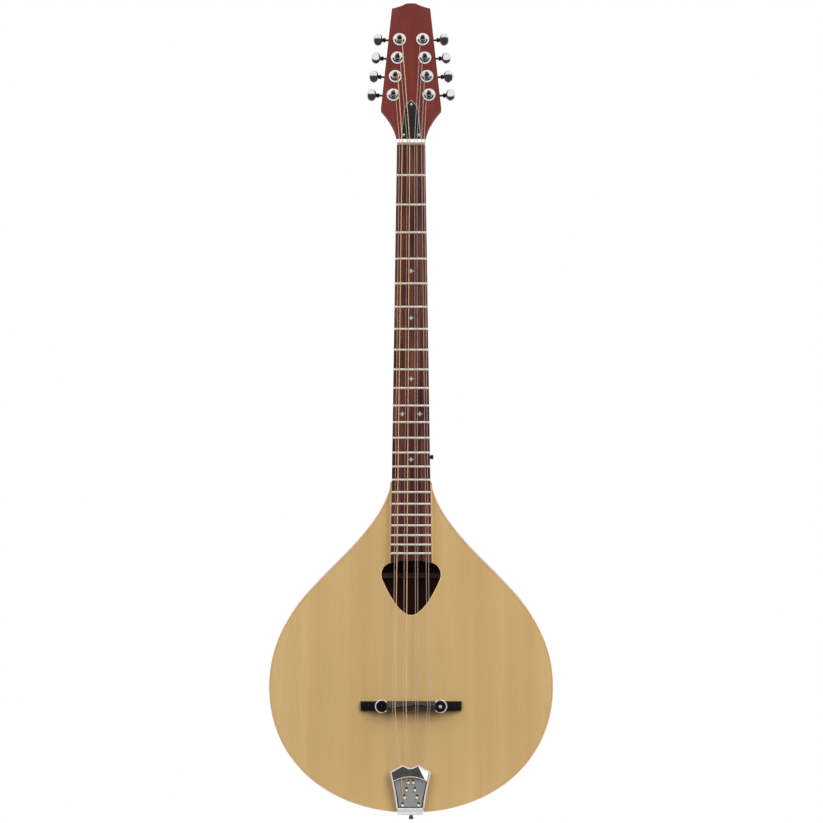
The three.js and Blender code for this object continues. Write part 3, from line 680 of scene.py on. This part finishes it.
def neck_ring(z):
    """One slice across the neck: flat in front, round behind, pinched towards the heel's cap."""
    count = 36
    front = BOARD_THICK + 0.1
    width = board_half(z)
    if z > 5.7:
        front = HEAD_AT[0] + (z - HEAD_AT[1]) * tan(HEAD_LEAN) + 2.0
        width = NUT_HALF - 0.4
    deep = heel_depth(z) - front
    heel = max(0.0, min(1.0, (-322 - z) / 48))
    ring = []
    for k in range(count):
        angle = pi * k / (count - 1)
        bulge = sin(angle) ** (1 - 0.25 * heel)
        narrow = 1 - 0.42 * heel * bulge ** 1.5
        across = copysign(abs(cos(angle)) ** (1 - 0.35 * heel), cos(angle))
        ring.append(TO_NECK @ Vector((width * narrow * across, front + deep * bulge, z)))
    cap = BACK_FACE - 0.4
    return [(p.x, min(p.y, cap), p.z if z > -400 else SHOULDER[1] + 0.1) for p in ring]


def build_neck():
    stations = [22, 16, 10, 5.71, 5.69, 0] + [-20 * k for k in range(1, 16)]
    stations += [HEEL_START - 1.5 * k for k in range(50)] + [-396, -405]
    shaft = loft("neck_shaft", [neck_ring(z) for z in stations], smooth=35)
    shaft = cut(shaft, rod_pocket())
    keep(shaft, HEAD_WOOD, replaces=["neck"])

    for name, front, back, edge, nodes in (
            ("headstock", VENEER + 0.1, HEAD_THICK, 0.7, []),
            ("headstock_face", 0, VENEER, 0.25, ["headstock_veneer"])):
        board = placed(plate(name, [head_outline()], front, back, edge), TO_HEAD)
        board = cut(board, *post_cutters(), rod_pocket())
        keep(board, HEAD_WOOD, replaces=nodes)


def head_outline():
    z = HEAD_CORNER[1]
    right = path(
        (0.02, 174),
        ((2.5, 174), (4.6, 173.9), HEAD_TIP, 6),
        ((10, z + 4), (15.5, z + 1.8), HEAD_CORNER, 14),
        (HEAD_SHOULDER, 4),
        ((26.5, 28), (18.6, 15), (17.1, 0), 20))
    return mirrored(right + [(17.1, 0)])


def post_cutters():
    cutters = []
    for x, z in zip(TUNER_X, TUNER_Z):
        for side in (-1, 1):
            drill = rod("drill", 5, -3, 20, 32)
            place = TO_HEAD @ Matrix.Translation((side * x, 0, z))
            cutters.append(placed(drill, place))
    return cutters


def rod_pocket():
    pocket = block("pocket", (-5, 5), (-10, ROD_Y + 3.8), (8, 34))
    return placed(pocket, TO_NECK)


def build_fretboard():
    end = BOARD_END - BOARD_HOLLOW
    arc = bezier((-board_half(end), end), (-9, BOARD_END + 0.9), (9, BOARD_END + 0.9),
                 (board_half(end), end), 24)
    outline = [(-board_half(BOARD_TOP), BOARD_TOP)] + arc
    outline += [(board_half(end), end), (board_half(BOARD_TOP), BOARD_TOP)]
    board = placed(plate("fretboard_wood", [outline], 0, BOARD_THICK, 0.35), TO_NECK)
    keep(board, ROSEWOOD, replaces=["fretboard"])
    repaint(frame["nodes"]["fretboard_riser"], PALE_WOOD)
    for fret, places in MARKED_FRETS.items():
        z = (fret_z(fret) + fret_z(fret - 1)) / 2
        for number, x in enumerate(places):
            mark = plate(f"mark_{fret}_{number}", [snowflake(x, z)], -0.04, 0.3)
            keep(placed(mark, TO_NECK), PEARL)


def snowflake(x, z):
    """A small mark of four petals, the side ones drawn out into dots."""
    points = []
    for angle in angles(64):
        sideways = abs(cos(angle))
        waist = 1 - 0.62 * exp(-((sideways - 0.94) / 0.035) ** 2)
        reach = (0.62 + 0.38 * abs(cos(2 * angle)) ** 2) * waist
        stretch = 3.9 if sideways > 0.94 else 2.6
        points.append((x + stretch * reach * cos(angle), z + 2.6 * reach * sin(angle)))
    return points


def fret_wire(name, z, high):
    """A crowned wire across the board with rounded ends."""
    half = board_half(z) - 0.35
    shares = ((0, 0.2), (0.3, 0.5), (0.8, 0.8), (1.5, 1.0))
    stations = [(-half + step, share) for step, share in shares]
    stations += [(half - step, share) for step, share in reversed(shares)]
    rings = []
    for x, share in stations:
        crown = [(x, -0.02 - high * share * sin(pi * k / 10),
                  z + 1.2 * cos(pi * k / 10)) for k in range(11)]
        rings.append([TO_NECK @ Vector(p) for p in crown])
    return loft(name, rings, smooth=50)


def build_frets():
    for number in range(FRET_COUNT + 1):
        high = FRET_HIGH if number else ZERO_HIGH
        wire = fret_wire(f"fret_wire_{number}", fret_z(number), high)
        nodes = {0: ["zero_fret"], 1: ["frets"]}.get(number, [])
        keep(wire, BRASS if number == 0 else NICKEL, replaces=nodes)


def build_nut():
    """A bone bar with a slot for each string."""
    stations = [-NUT_HALF - 0.2, -NUT_HALF]
    for x, wound in zip(NUT_X, WOUND):
        half = (WOUND_RADIUS if wound else PLAIN_RADIUS) + 0.12
        stations += [x - half - 0.05, x - half, x + half, x + half + 0.05]
    stations += [NUT_HALF, NUT_HALF + 0.2]
    rings = []
    for index, x in enumerate(stations):
        slotted = index % 4 in (3, 0) and 2 < index < len(stations) - 2
        end = index in (0, len(stations) - 1)
        top = -0.45 if slotted else (-1.6 if end else -1.9)
        profile = [(top, 1.75), (top + 0.15, 5.5), (top + 0.5, 5.75), (6, 5.75), (6, 1.62),
                   (top + 0.3, 1.62)]
        rings.append([TO_NECK @ Vector((x, y, z)) for y, z in profile])
    keep(loft("bone_nut", rings, smooth=30), BONE, replaces=["nut"])


def cover_outline(grow=0.0):
    """A bell that rises to a point."""
    g = grow
    right = path(
        (0.02, 50 + 1.3 * g),
        ((4.9 + g, 45.2 + 0.6 * g), 4),
        ((7.4 + g, 42), (8.9 + g, 38.8), (9.1 + g, 34), 12),
        ((9.6 + g, 26), (10.8 + g, 14), (11.9 + g, 1), 12))
    return mirrored(right + [(11.9 + g, 1)])


def build_cover():
    under = placed(plate("cover_edge", [cover_outline()], -0.9, -0.1, 0.2), TO_HEAD)
    keep(under, PALE_PLASTIC)
    over = placed(plate("cover_plate", [cover_outline(-0.8)], -1.8, -0.9, 0.2), TO_HEAD)
    keep(over, BLACK_PLASTIC, replaces=["truss_rod_cover"])
    for number, (x, z) in enumerate(((0.3, 43.4), (-8.9, 4.8), (9.3, 4.6))):
        screw = placed(screw_head(f"cover_screw_{number}", 1.9),
                       TO_HEAD @ Matrix.Translation((x, -1.8, z)))
        keep(screw, CHROME)
    for name in ("truss_rod", "truss_rod_nut"):
        repaint(frame["nodes"][name], DARK_STEEL)


def screw_head(name, radius):
    """A domed head that faces -Y, with a cross-shaped slot."""
    dome = [(0, 0.1), (radius, 0.1), (radius, -0.15)]
    dome += [(radius * cos(a), -0.15 - 0.75 * sin(a)) for a in (0.3, 0.6, 0.9, 1.2, 1.45)]
    head = lathe(name, dome + [(0, -0.92)], 28)
    arm, thin = radius * 0.55, radius * 0.14
    across = block("slot_a", (-arm, arm), (-3, -0.45), (-thin, thin))
    upright = block("slot_b", (-thin, thin), (-3, -0.45), (-arm, arm))
    return cut(head, across, upright)


# ---- the tuners ----

def tuner_place(side, number):
    """A tuner's frame: x out along the knob's shaft, y into the headstock, z to its tip."""
    post = JOINTS[f"post_{side}_{number}"]
    inward = -Vector(post["axis"])
    out = Vector(JOINTS[f"knob_{side}_{number}"]["axis"])
    up = inward.cross(out)
    if up.z < 0:
        up = -up
    place = Matrix((out, inward, up)).transposed().to_4x4()
    place.translation = Vector(post["pos_m"]) / MM
    return place


def washer():
    """The post's washer: a thin flat flange that rises to a collar round the post."""
    profile = [(POST_BORE, -0.1), (7.9, -0.1), (8.0, -0.3), (7.9, -0.5), (7.7, -0.6), (6.1, -0.65),
               (4.5, -1.45), (4.2, -1.6), (3.5, -1.65), (POST_BORE, -1.5), (POST_BORE, -0.1)]
    return lathe("washer", profile, 56, smooth=15)


def housing():
    """A cast gear case with rounded corners behind the headstock, hollowed, with bores for the shaft and the post.
    """
    case = plate("case", [rounded_box(-6, 6, -6, 9.6, 2.6)], 15.1, 25.0, 1.2, 3)
    room = plate("room", [rounded_box(-4.8, 4.8, -4.8, 8.4, 1.5)], 16.6, 23.6)
    shaft_bore = along_shaft(rod("shaft_bore", 1.65, 0, 9, 24))
    return cut(case, room, shaft_bore, rod("post_bore", POST_BORE, 14, 18, 24))


def rounded_box(low_x, high_x, low_z, high_z, radius):
    points = []
    corners = ((high_x - radius, high_z - radius, 0), (low_x + radius, high_z - radius, 90),
               (low_x + radius, low_z + radius, 180), (high_x - radius, low_z + radius, 270))
    for x, z, start in corners:
        for step in range(7):
            angle = radians(start + 15 * step)
            points.append((x + radius * cos(angle), z + radius * sin(angle)))
    return points


def along_shaft(obj):
    """Lays a shape turned about Y along the knob's shaft, with its y as the way out."""
    turn = Matrix.Translation((0, WORM_DEPTH, WORM_OFFSET)) @ Matrix.Rotation(-pi / 2, 4, "Z")
    return placed(obj, turn)


def button(turn):
    """An oval cast button with domed faces across the shaft's end, turned from square."""
    rings = []
    for step in range(25):
        t = -1 + step / 12
        least = 1.5 if step == 0 else 0.02
        tall = max(least, 7.7 * max(0.0, 1 - abs(t) ** 2.2) ** 0.48)
        thick = max(least, 3.3 * sqrt(max(0.0, 1 - t ** 4)))
        ring = []
        for angle in angles(44):
            up, out = tall * cos(angle), sin(angle)
            out = thick * copysign(abs(out) ** 0.8, out)
            depth = out * cos(turn) - up * sin(turn)
            height = up * cos(turn) + out * sin(turn)
            ring.append((26.4 + 6.1 * t, WORM_DEPTH + depth, WORM_OFFSET + height))
        rings.append(ring)
    return loft("button", rings, smooth=50)


def post_stem():
    stem = lathe("stem", [
        (0, -10), (1.9, -10), (2.3, -9.75), (2.45, -9.4), (2.45, -7.4), (2.42, -7.3),
        (POST_WAIST, -4.2), (2.8, -3.7), (3, -3.4), (3, 18.3), (0, 18.3)], 36)
    hole = tube("hole", [(-5, -5.6, 0), (5, -5.6, 0)], 0.8, 12)
    return cut(stem, hole)


def gear():
    """The post's wheel, with teeth that lean to follow the worm's thread."""
    lean = atan(WORM_PITCH / (2 * pi * WORM_RADIUS))
    rings = []
    for y in (-1.6, -0.8, 0, 0.8, 1.6):
        ring = []
        for upright in angles(TEETH * 6):
            angle = upright + y * tan(lean) / GEAR_RADIUS
            radius = GEAR_RADIUS - TOOTH_HALF * cos(TEETH * (pi / 2 - upright))
            ring.append((radius * cos(angle), WORM_DEPTH + y, radius * sin(angle)))
        rings.append(ring)
    return loft("gear", rings, smooth=35)


def worm():
    """A single thread on the knob's shaft: a round bar off its axis, twisted."""
    rings = []
    for step in range(61):
        along = -1.9 + 3.8 * step / 60
        twist = 2 * pi * along / WORM_PITCH
        ring = []
        for angle in angles(20):
            y = TOOTH_HALF * sin(twist) + WORM_RADIUS * cos(angle)
            z = -TOOTH_HALF * cos(twist) + WORM_RADIUS * sin(angle)
            ring.append((along, WORM_DEPTH + y, WORM_OFFSET + z))
        rings.append(ring)
    return loft("worm", rings, smooth=50)


def tuner_parts():
    """Each piece of one tuner: its name, shape, material and the body and node it stands for."""
    shaft = along_shaft(rod("shaft", 1.3, 1.7, 21.5, 20))
    collar = along_shaft(lathe("collar", [(1.4, 17.2), (2.5, 17.2), (2.8, 17.8), (2.8, 19.4),
                                          (2.1, 20.4), (1.4, 20.4), (1.4, 17.2)], 28))
    sleeve = lathe("bushing", [(POST_BORE, -0.1), (4.8, -0.1), (4.8, 15.2), (POST_BORE, 15.2),
                               (POST_BORE, -0.1)], 32)
    return [
        ("washer", washer(), CHROME, None, None),
        ("bushing", sleeve, CHROME, None, None),
        ("case", housing(), CASE_METAL, None, "housing"),
        ("post", post_stem(), SHADED_POST_STEEL, "post", "post"),
        ("gear", gear(), BRASS, "post", None),
        ("worm", worm(), DARK_STEEL, "knob", None),
        ("shaft", shaft, DARK_STEEL, "knob", None),
        ("collar", collar, BLACK_PLASTIC, "knob", None),
    ]


def build_tuners():
    masters = tuner_parts()
    for side in SIDES:
        for number in range(1, 5):
            place = tuner_place(side, number)
            for name, master, material, mover, node in masters:
                copy = linked(f"tuner_{name}_of_{side}_{number}", master.data.copy())
                placed(copy, place)
                body = f"{mover}_{side}_{number}" if mover else ROOT
                nodes = [f"tuner_{node}_{side}_{number}"] if node else []
                keep(copy, material, body, nodes)
            tip = placed(button(radians(BUTTON_TURN[side][number - 1])), place)
            tip.name = f"tuner_button_of_{side}_{number}"
            keep(tip, CHROME, f"knob_{side}_{number}", [f"tuner_knob_{side}_{number}"])
    for _, master, *_ in masters:
        bpy.data.objects.remove(master)


# ---- the bridge ----

def build_bridge():
    drills = [shifted(rod("drill", 1.9, -30, -10, 24), x, BRIDGE_Z) for x in (-STUD_X, STUD_X)]
    foot = cut(bridge_foot(), *drills)
    foot.name = "bridge_foot"
    keep(foot, EBONY, replaces=["bridge_base"])
    for side, x in zip(SIDES, (-STUD_X, STUD_X)):
        stud = shifted(threaded_stud(f"bridge_stud_{side}"), x, BRIDGE_Z)
        # The two studs are alike: the bass stud's dark steel is painted shade in its hole, the treble stud's
        # near-white chrome is a painted highlight.
        keep(stud, DARK_STEEL if side == "bass" else HIGHLIGHT_CHROME)
        wheel = shifted(thumbwheel(f"thumbwheel_of_{side}"), x, BRIDGE_Z)
        keep(wheel, CHROME, f"thumbwheel_{side}", [f"thumbwheel_{side}"])
        lobe = shifted(saddle_lobe(f"saddle_lobe_{side}"), x, BRIDGE_Z)
        keep(lobe, EBONY, "saddle")
    bar = along_crest("saddle_bar", 29.2, 48, bar_section, smooth=25)
    keep(bar, SHEEN_EBONY, "saddle", ["bridge_saddle"])
    crest = along_crest("saddle_crest", 28.4, 72, crest_section, smooth=50)
    keep(crest, EBONY, "saddle")


def bridge_foot():
    """A bar with a level middle and ends that slope down, its corners slightly rounded."""
    low = TOP_FACE - 0.05
    stations = ((-BRIDGE_HALF, 4.4), (-BRIDGE_WAIST, 8.6), (BRIDGE_WAIST, 8.6), (BRIDGE_HALF, 4.4))
    rings = []
    for x, rise in stations:
        top = TOP_FACE - rise
        rings.append([(x, y, BRIDGE_Z + side * BRIDGE_DEEP / 2)
                      for y, side in ((low, -1), (low, 1), (top, 1), (top, -1))])
    return bevelled(loft("bridge_foot", rings), 0.5)


def shifted(obj, x, z):
    return placed(obj, Matrix.Translation((x, 0, z)))


def threaded_stud(name):
    """A screwed pin with a hollow end that a small key turns."""
    profile = [(0, -10.2), (1.75, -10.2)]
    y = -10.6
    while y > -25.6:
        profile += [(1.95, y), (1.7, y - 0.35)]
        y -= 0.7
    profile += [(1.9, -26.4), (1.6, -26.8), (1.0, -26.8), (0.95, -25.2), (0, -25.2)]
    return lathe(name, profile, 24, smooth=50)


def thumbwheel(name):
    """A thin wheel with bevelled faces and a milled rim, round the stud."""
    rings = []
    for k, angle in enumerate(angles(144)):
        rim = 8.2 - 0.16 * (k % 4 in (1, 2))
        profile = [(2.2, -20), (7.0, -20), (rim, -18.8), (rim, -18.2), (7.4, -17.4), (2.2, -17.4)]
        rings.append([(r * cos(angle), y, r * sin(angle)) for r, y in profile])
    return loft(name, rings, smooth=25, closed=True)


def crest_offset(x):
    """Where the saddle's crest runs across its bar: it steps a little under each pair."""
    centres = [-20.6, -7.6, 6.8, 21.3]
    if x <= centres[0]:
        return RIDGE_STEPS[0]
    for left, right, a, b in zip(centres, centres[1:], RIDGE_STEPS, RIDGE_STEPS[1:]):
        if x <= right:
            t = (x - left) / (right - left)
            t = min(1, max(0, (t - 0.25) / 0.5))
            return a + (b - a) * t * t * (3 - 2 * t)
    return RIDGE_STEPS[-1]


def saddle_lobe(name):
    return lathe(name, [(2.2, -20.3), (6.3, -20.3), (6.7, -20.7), (6.7, -25.8), (6.3, -26.3),
                        (5.6, -26.5), (2.6, -26.5), (2.2, -26.2), (2.2, -20.3)], 56)


def along_crest(name, half, steps, section, smooth):
    """A bar from -half to half in X. section makes its slice from x and the crest's z there."""
    rings = []
    for step in range(steps + 1):
        x = -half + 2 * half * step / steps
        rings.append([(x, y, z) for y, z in section(x, BRIDGE_Z + crest_offset(x))])
    return loft(name, rings, smooth)


def bar_section(_, crest):
    """The bar between the lobes, bevelled from both sides up to its crest."""
    low, high = BRIDGE_Z - 5.1, BRIDGE_Z + 5.1
    return [(-20.3, low), (-23.2, low), (-23.8, low + 0.4), (-27.4, crest - 0.6),
            (-27.4, crest + 0.6), (-23.8, high - 0.4), (-23.2, high), (-20.3, high)]


def crest_section(x, crest):
    """The thin ridge that carries the strings, which fades at its ends."""
    fade = min(1, max(0, (28.6 - abs(x)) / 2.5))
    top = -27.2 + (RIDGE_FRONT + 27.2) * fade
    return [(-27.0, crest - 0.75), (top + 0.25, crest - 0.6), (top, crest - 0.3),
            (top, crest + 0.3), (top + 0.25, crest + 0.6), (-27.0, crest + 0.75)]


# ---- the tailpiece ----

def tail_outline():
    low = TAIL_Z
    right = path(
        (2.5, low + 54),
        ((8.0, low + 57.3), 4),
        ((9.4, low + 58.2), (10.5, low + 57.4), (12, low + 56.5), 6),
        ((22.0, low + 50.4), 4),
        ((23.9, low + 49.2), (24.1, low + 47.8), (23.4, low + 45.6), 6),
        ((21, low + 34), (18.4, low + 24), (15.9, low + 3), 18))
    return mirrored([(0.02, low + 54)] + right + [(15.6, low)])


def arch(x, shrink=0.0):
    """The height of the recess's arched top at x."""
    return TAIL_Z + 43.8 - shrink - 5.2 * (x / 20) ** 2


def recess_outline(shrink=0.0):
    """The lowered floor under the strings' ends, with an arched top."""
    low, s = TAIL_Z, shrink
    right = [(x, arch(x, s)) for x in (0.02, 2.5, 5, 7.5, 10, 12.5, 15, 17.5)]
    corner = (20.2 - s, arch(20.2 - s, s))
    right += bezier(corner, (18.2 - s, low + 30), (15.8 - s, low + 20),
                    (14.2 - s, low + 7.5 + s), 14)
    right.append((14.0 - s, low + 6.6 + s))
    return mirrored(right)


def build_tailpiece():
    body = plate("tail_casting", [tail_outline()], TAIL_FRONT, -14.5, 0.9, 4)
    floor = plate("recess", [recess_outline()], -30, TAIL_FRONT + 1.6)
    pits = [shifted(rod("hole", HOLE_RADIUS, -30, -15, 24), x, z + HOLE_ABOVE) for x, z in PINS]
    shifted(body, TAIL_X, 0)
    body = cut(body, shifted(floor, TAIL_X, 0), *pits)
    keep(body, CHROME, replaces=["tailpiece"])
    holes = [circle(x - TAIL_X, z + HOLE_ABOVE, HOLE_RADIUS, 24) for x, z in PINS]
    deck = plate("tail_floor", [recess_outline(0.9)] + holes, TAIL_FRONT + 1.3, TAIL_FRONT + 1.6)
    keep(shifted(deck, TAIL_X, 0), SATIN_CHROME)
    build_tail_hood()
    keep(tail_strap(), HIGHLIGHT_CHROME)
    for number, (x, z) in enumerate(PINS, 1):
        keep(tail_hook(f"tail_hook_{number}", x, z), HIGHLIGHT_CHROME)
    for number, (x, y) in enumerate(((-8.5, 12), (8.5, 12))):
        screw = screw_head(f"tail_screw_{number}", 2.6)
        turn = Matrix.Translation((TAIL_X + x, y, TAIL_Z - 2.5)) @ Matrix.Rotation(pi / 2, 4, "X")
        keep(placed(screw, turn), CHROME)


def build_tail_hood():
    """A faceted cover over the strings' way in: a middle slope and a facet to each shoulder."""
    low, crown = TAIL_Z, TAIL_FRONT - 4
    top = [(-22.6, TAIL_FRONT + 0.1, low + 49.5), (-9, crown, low + 57), (-2.5, crown, low + 53.9),
           (2.5, crown, low + 53.9), (9, crown, low + 57), (22.6, TAIL_FRONT + 0.1, low + 49.5)]
    steps = 8
    lip = []
    for k in range(steps + 1):
        x = -17.8 + 35.6 * k / steps
        lip.append((x, TAIL_FRONT - 2.3 + 0.5 * (x / 17.8) ** 2, arch(x)))
    corners = [(-20.6, TAIL_FRONT + 0.2, arch(-20.6)), (20.6, TAIL_FRONT + 0.2, arch(20.6))]
    verts = top + lip + corners
    first, last = len(top), len(top) + steps
    middle = (1, *range(first, last + 1), 4, 3, 2)
    faces = [middle, (0, last + 1, first, 1), (4, last, last + 2, 5)]
    shell = shifted(mesh_object("tail_hood", verts, faces), TAIL_X, 0)
    modify(shell, "SOLIDIFY", thickness=0.8 * MM, offset=-1)
    keep(baked(shell, smooth=12), REFLECTION_PATCH_CHROME)
    rim = [(TAIL_X + x, y, z) for x, y, z in top]
    keep(tube("tail_hood_rim", rim, 0.8, 14), HIGHLIGHT_CHROME)
    edge = [(TAIL_X + x, y, z) for x, y, z in [corners[0]] + lip + [corners[1]]]
    keep(tube("tail_hood_lip", edge, 0.45, 12), HIGHLIGHT_CHROME)
    for side, name in zip((-1, 1), SIDES):
        outer = [p for p in tail_outline() if p[0] * side > 0 and low + 1 < p[1] < low + 50]
        bead = [(TAIL_X + x - 0.6 * side, TAIL_FRONT - 0.1, z) for x, z in outer]
        keep(tube(f"tail_rim_{name}", bead, 0.9, 14), HIGHLIGHT_CHROME)


def tail_hook(name, x, z):
    """A tongue that rises from the floor and leans back over the hole it was cut from."""
    points = [(x, -16.4, z - 0.6), (x, -17.6, z - 0.5), (x, -18.8, z - 0.1), (x, -19.3, z + 0.3)]
    stem = tube(name, points, HOOK_RADIUS, 16)
    return bevelled(stem, 0.5, 3, 50)


def tail_strap():
    """The strap that rolls over the tail and runs down the side to the end pin."""
    out = TAIL_Z - 2.5
    inner = TAIL_Z - 0.15
    outer_line = [(-17.6, TAIL_Z + 6.6), (-19.2, TAIL_Z + 5.4), (-19.6, TAIL_Z + 3.4),
                  (-19.2, TAIL_Z + 1.2), (-17.6, TAIL_Z - 0.9), (-15.0, out + 0.25),
                  (-12.0, out), (44, out)]
    inner_line = [(44, inner), (-9, inner), (-12.4, TAIL_Z + 0.4), (-14.2, TAIL_Z + 2.4),
                  (-14.4, TAIL_Z + 6.6)]
    rings = []
    for x, shrink in ((-15.4, 0.5), (-15.0, 0.1), (-14.4, 0), (14.4, 0), (15.0, 0.1), (15.4, 0.5)):
        ring = []
        for y, z in outer_line + inner_line:
            slim = 1 - 0.16 * max(0, min(1, (y + 5) / 20))
            ring.append((TAIL_X + x * slim, y + (0.4 * shrink if z > inner else 0), z))
        rings.append(ring)
    strap = loft("tail_strap", rings, smooth=35)
    return bevelled(strap, 0.35, 2, 50)


def strap_knob(name):
    return lathe(name, [
        (0, 0), (2.4, 0), (2.3, 0.5), (1.95, 1.4), (1.9, 2.8), (2.0, 4.2), (2.4, 5.4), (2.8, 6.2),
        (2.9, 6.8), (2.8, 7.5), (2.4, 8.1), (1.7, 8.38), (0, 8.4)], 40)


def build_buttons():
    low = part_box("end_pin")[1].z / MM
    middle = (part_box("end_pin")[0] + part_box("end_pin")[1]) / 2 / MM
    turn = Matrix.Translation((middle.x, middle.y, low)) @ Matrix.Rotation(-pi / 2, 4, "X")
    keep(placed(strap_knob("end_pin_knob"), turn), DARK_STEEL, replaces=["end_pin"])
    start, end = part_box("strap_button")
    y, z = (start.y + end.y) / 2 / MM, (start.z + end.z) / 2 / MM
    turn = Matrix.Translation((start.x / MM, y, z)) @ Matrix.Rotation(-pi / 2, 4, "Z")
    keep(placed(strap_knob("heel_button"), turn), DARK_STEEL, replaces=["strap_button"])


# ---- the strings ----

def beside_pin(radius):
    """How far from a tailpiece pin's middle a string of this radius lies."""
    return HOOK_RADIUS + radius + TOUCHING


def string_points(i):
    """A string's radius, its points from pin to nut, its coil on the post, and the post's body."""
    radius = WOUND_RADIUS if WOUND[i] else PLAIN_RADIUS
    left = i < 4
    tuner = i if left else 7 - i
    pin_x, pin_z = PINS[i]
    beside = beside_pin(radius)
    tail_y = TAIL_FRONT - 0.65 - radius
    crest_z = BRIDGE_Z + RIDGE_STEPS[i // 2]
    ends = {
        "pin": Vector((pin_x + (-beside if left else beside), -17.2, pin_z)),
        "edge": Vector((EDGE_X[i], tail_y, TAIL_Z + 54)),
        "crest": Vector((SADDLE_X[i], RIDGE_FRONT - radius - TOUCHING, crest_z)),
        "fret": TO_NECK @ Vector((NUT_X[i], -ZERO_HIGH - radius - 0.03, 0)),
        "nut": TO_NECK @ Vector((NUT_X[i], -0.55 - radius, 5)),
    }
    side = "bass" if left else "treble"
    inner = POST_WAIST + radius + TOUCHING
    place = tuner_place(side, tuner + 1)
    coil = []
    turns = 3.2 if radius > 0.4 else 4.4
    steps = int(turns * 24)
    for k in range(steps + 1):
        angle = pi - 2 * pi * turns * k / steps
        depth = -6.4 + 2 * radius * 1.08 * turns * k / steps
        coil.append(place @ Vector((inner * cos(angle), depth, inner * sin(angle))))
    return radius, ends, coil, f"post_{side}_{tuner + 1}"


def build_strings():
    for i in range(8):
        radius, ends, coil, post = string_points(i)
        material = BRONZE if WOUND[i] else STEEL
        number = i + 1
        tail_points = [ends["pin"] + Vector((0, 0.1, -1)), ends["pin"], ends["edge"], ends["crest"]]
        tail = tube(f"string_{number}_tail", tail_points, radius)
        tail = blended(tail, material)
        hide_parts(f"string_{number}")
        crest = ends["crest"]
        span = [crest, crest.lerp(ends["fret"], 0.02)]
        span += [crest.lerp(ends["fret"], k / 10) for k in range(1, 11)]
        speaking = tube(f"string_{number}_speaking", span, radius)
        blended(speaking, material)
        head = tube(f"string_{number}_head", [ends["fret"], ends["nut"], coil[0]], radius)
        keep(head, material)
        keep(tube(f"string_{number}_coil", coil, radius, 8), material, post)
        keep(pin_loop(i, radius), material)


def blended(obj, material):
    keep(obj, material, body=None)
    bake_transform(obj)
    return obj


def pin_loop(i, radius):
    """The twisted loop at a string's end, round its pin."""
    x, z = PINS[i]
    reach = beside_pin(radius)
    start = pi if i < 4 else 0
    way = 1 if i < 4 else -1
    points = [(x + reach * cos(start + way * a), -17.2, z + reach * sin(start + way * a))
              for a in (pi * 1.5 * k / 24 for k in range(25))]
    return tube(f"string_{i + 1}_loop", points, radius, 8)


# ---- the stage ----

def build_stage():
    scene = bpy.context.scene
    scene.view_settings.view_transform = "Standard"
    build_world(scene)
    light("key", (1.7, -2.6, 1.0), (0, 0, -0.4), 2.4, 79)
    light("fill", (-1.9, -2.7, 0.7), (0, 0, -0.4), 2.4, 54)
    light("low", (0.62, -0.8, -0.77), (0, 0, -0.77), 0.3, 0.4, mirrored_in_metal=True)

    floor = block("floor", (-1600, 1600), (-80, 450), (-864, -860))
    floor.data.materials.append(plastic("pale_floor", grey(0.86), 0.6))

    camera = linked("camera", bpy.data.cameras.new("camera"))
    distance, frame_width = 6.2, 0.9876
    camera.location = (0.0005, -distance, -0.321)
    camera.rotation_euler = (pi / 2, 0, 0)
    camera.data.lens = camera.data.sensor_width * distance / frame_width
    camera.data.clip_start = 0.01
    scene.camera = camera


def build_world(scene):
    """White above, behind and at the sides, and a dark room in front for metal to mirror."""
    scene.world = bpy.data.worlds.new("studio")
    sky = Nodes(scene.world)
    split = sky.node("SeparateXYZ", Vector=sky.node("TexCoord").outputs["Generated"])

    def rising(axis, start, end):
        made = sky.node("MapRange", Value=split.outputs[axis], From_Min=start, From_Max=end)
        return made.outputs["Result"]

    def most(one, two):
        made = sky.node("Math", operation="MAXIMUM")
        sky.feed(made.inputs[0], one)
        sky.feed(made.inputs[1], two)
        return made.outputs[0]

    overhead, backdrop = rising("Z", 0.44, 0.54), rising("Y", -0.45, -0.2)
    level = sky.node("MapRange", Value=most(overhead, backdrop), To_Min=0.05, To_Max=0.92)
    seen = sky.node("LightPath").outputs["Is Camera Ray"]
    sky.feed(sky.tree.nodes["Background"].inputs["Color"], most(level.outputs["Result"], seen))


def light(name, place, target, size, power, mirrored_in_metal=False):
    """A square lamp that shines from its place towards a target."""
    data = bpy.data.lights.new(name, "AREA")
    data.shape = "SQUARE"
    data.size = size
    data.energy = power
    lamp = linked(name, data)
    lamp.location = place
    lamp.rotation_euler = (Vector(target) - Vector(place)).to_track_quat("-Z", "Y").to_euler()
    lamp.visible_glossy = mirrored_in_metal


build_stage()
build_body()
paint_inner_wood()
build_neck()
build_fretboard()
build_frets()
build_nut()
build_cover()
build_tuners()
build_bridge()
build_tailpiece()
build_buttons()
build_strings()
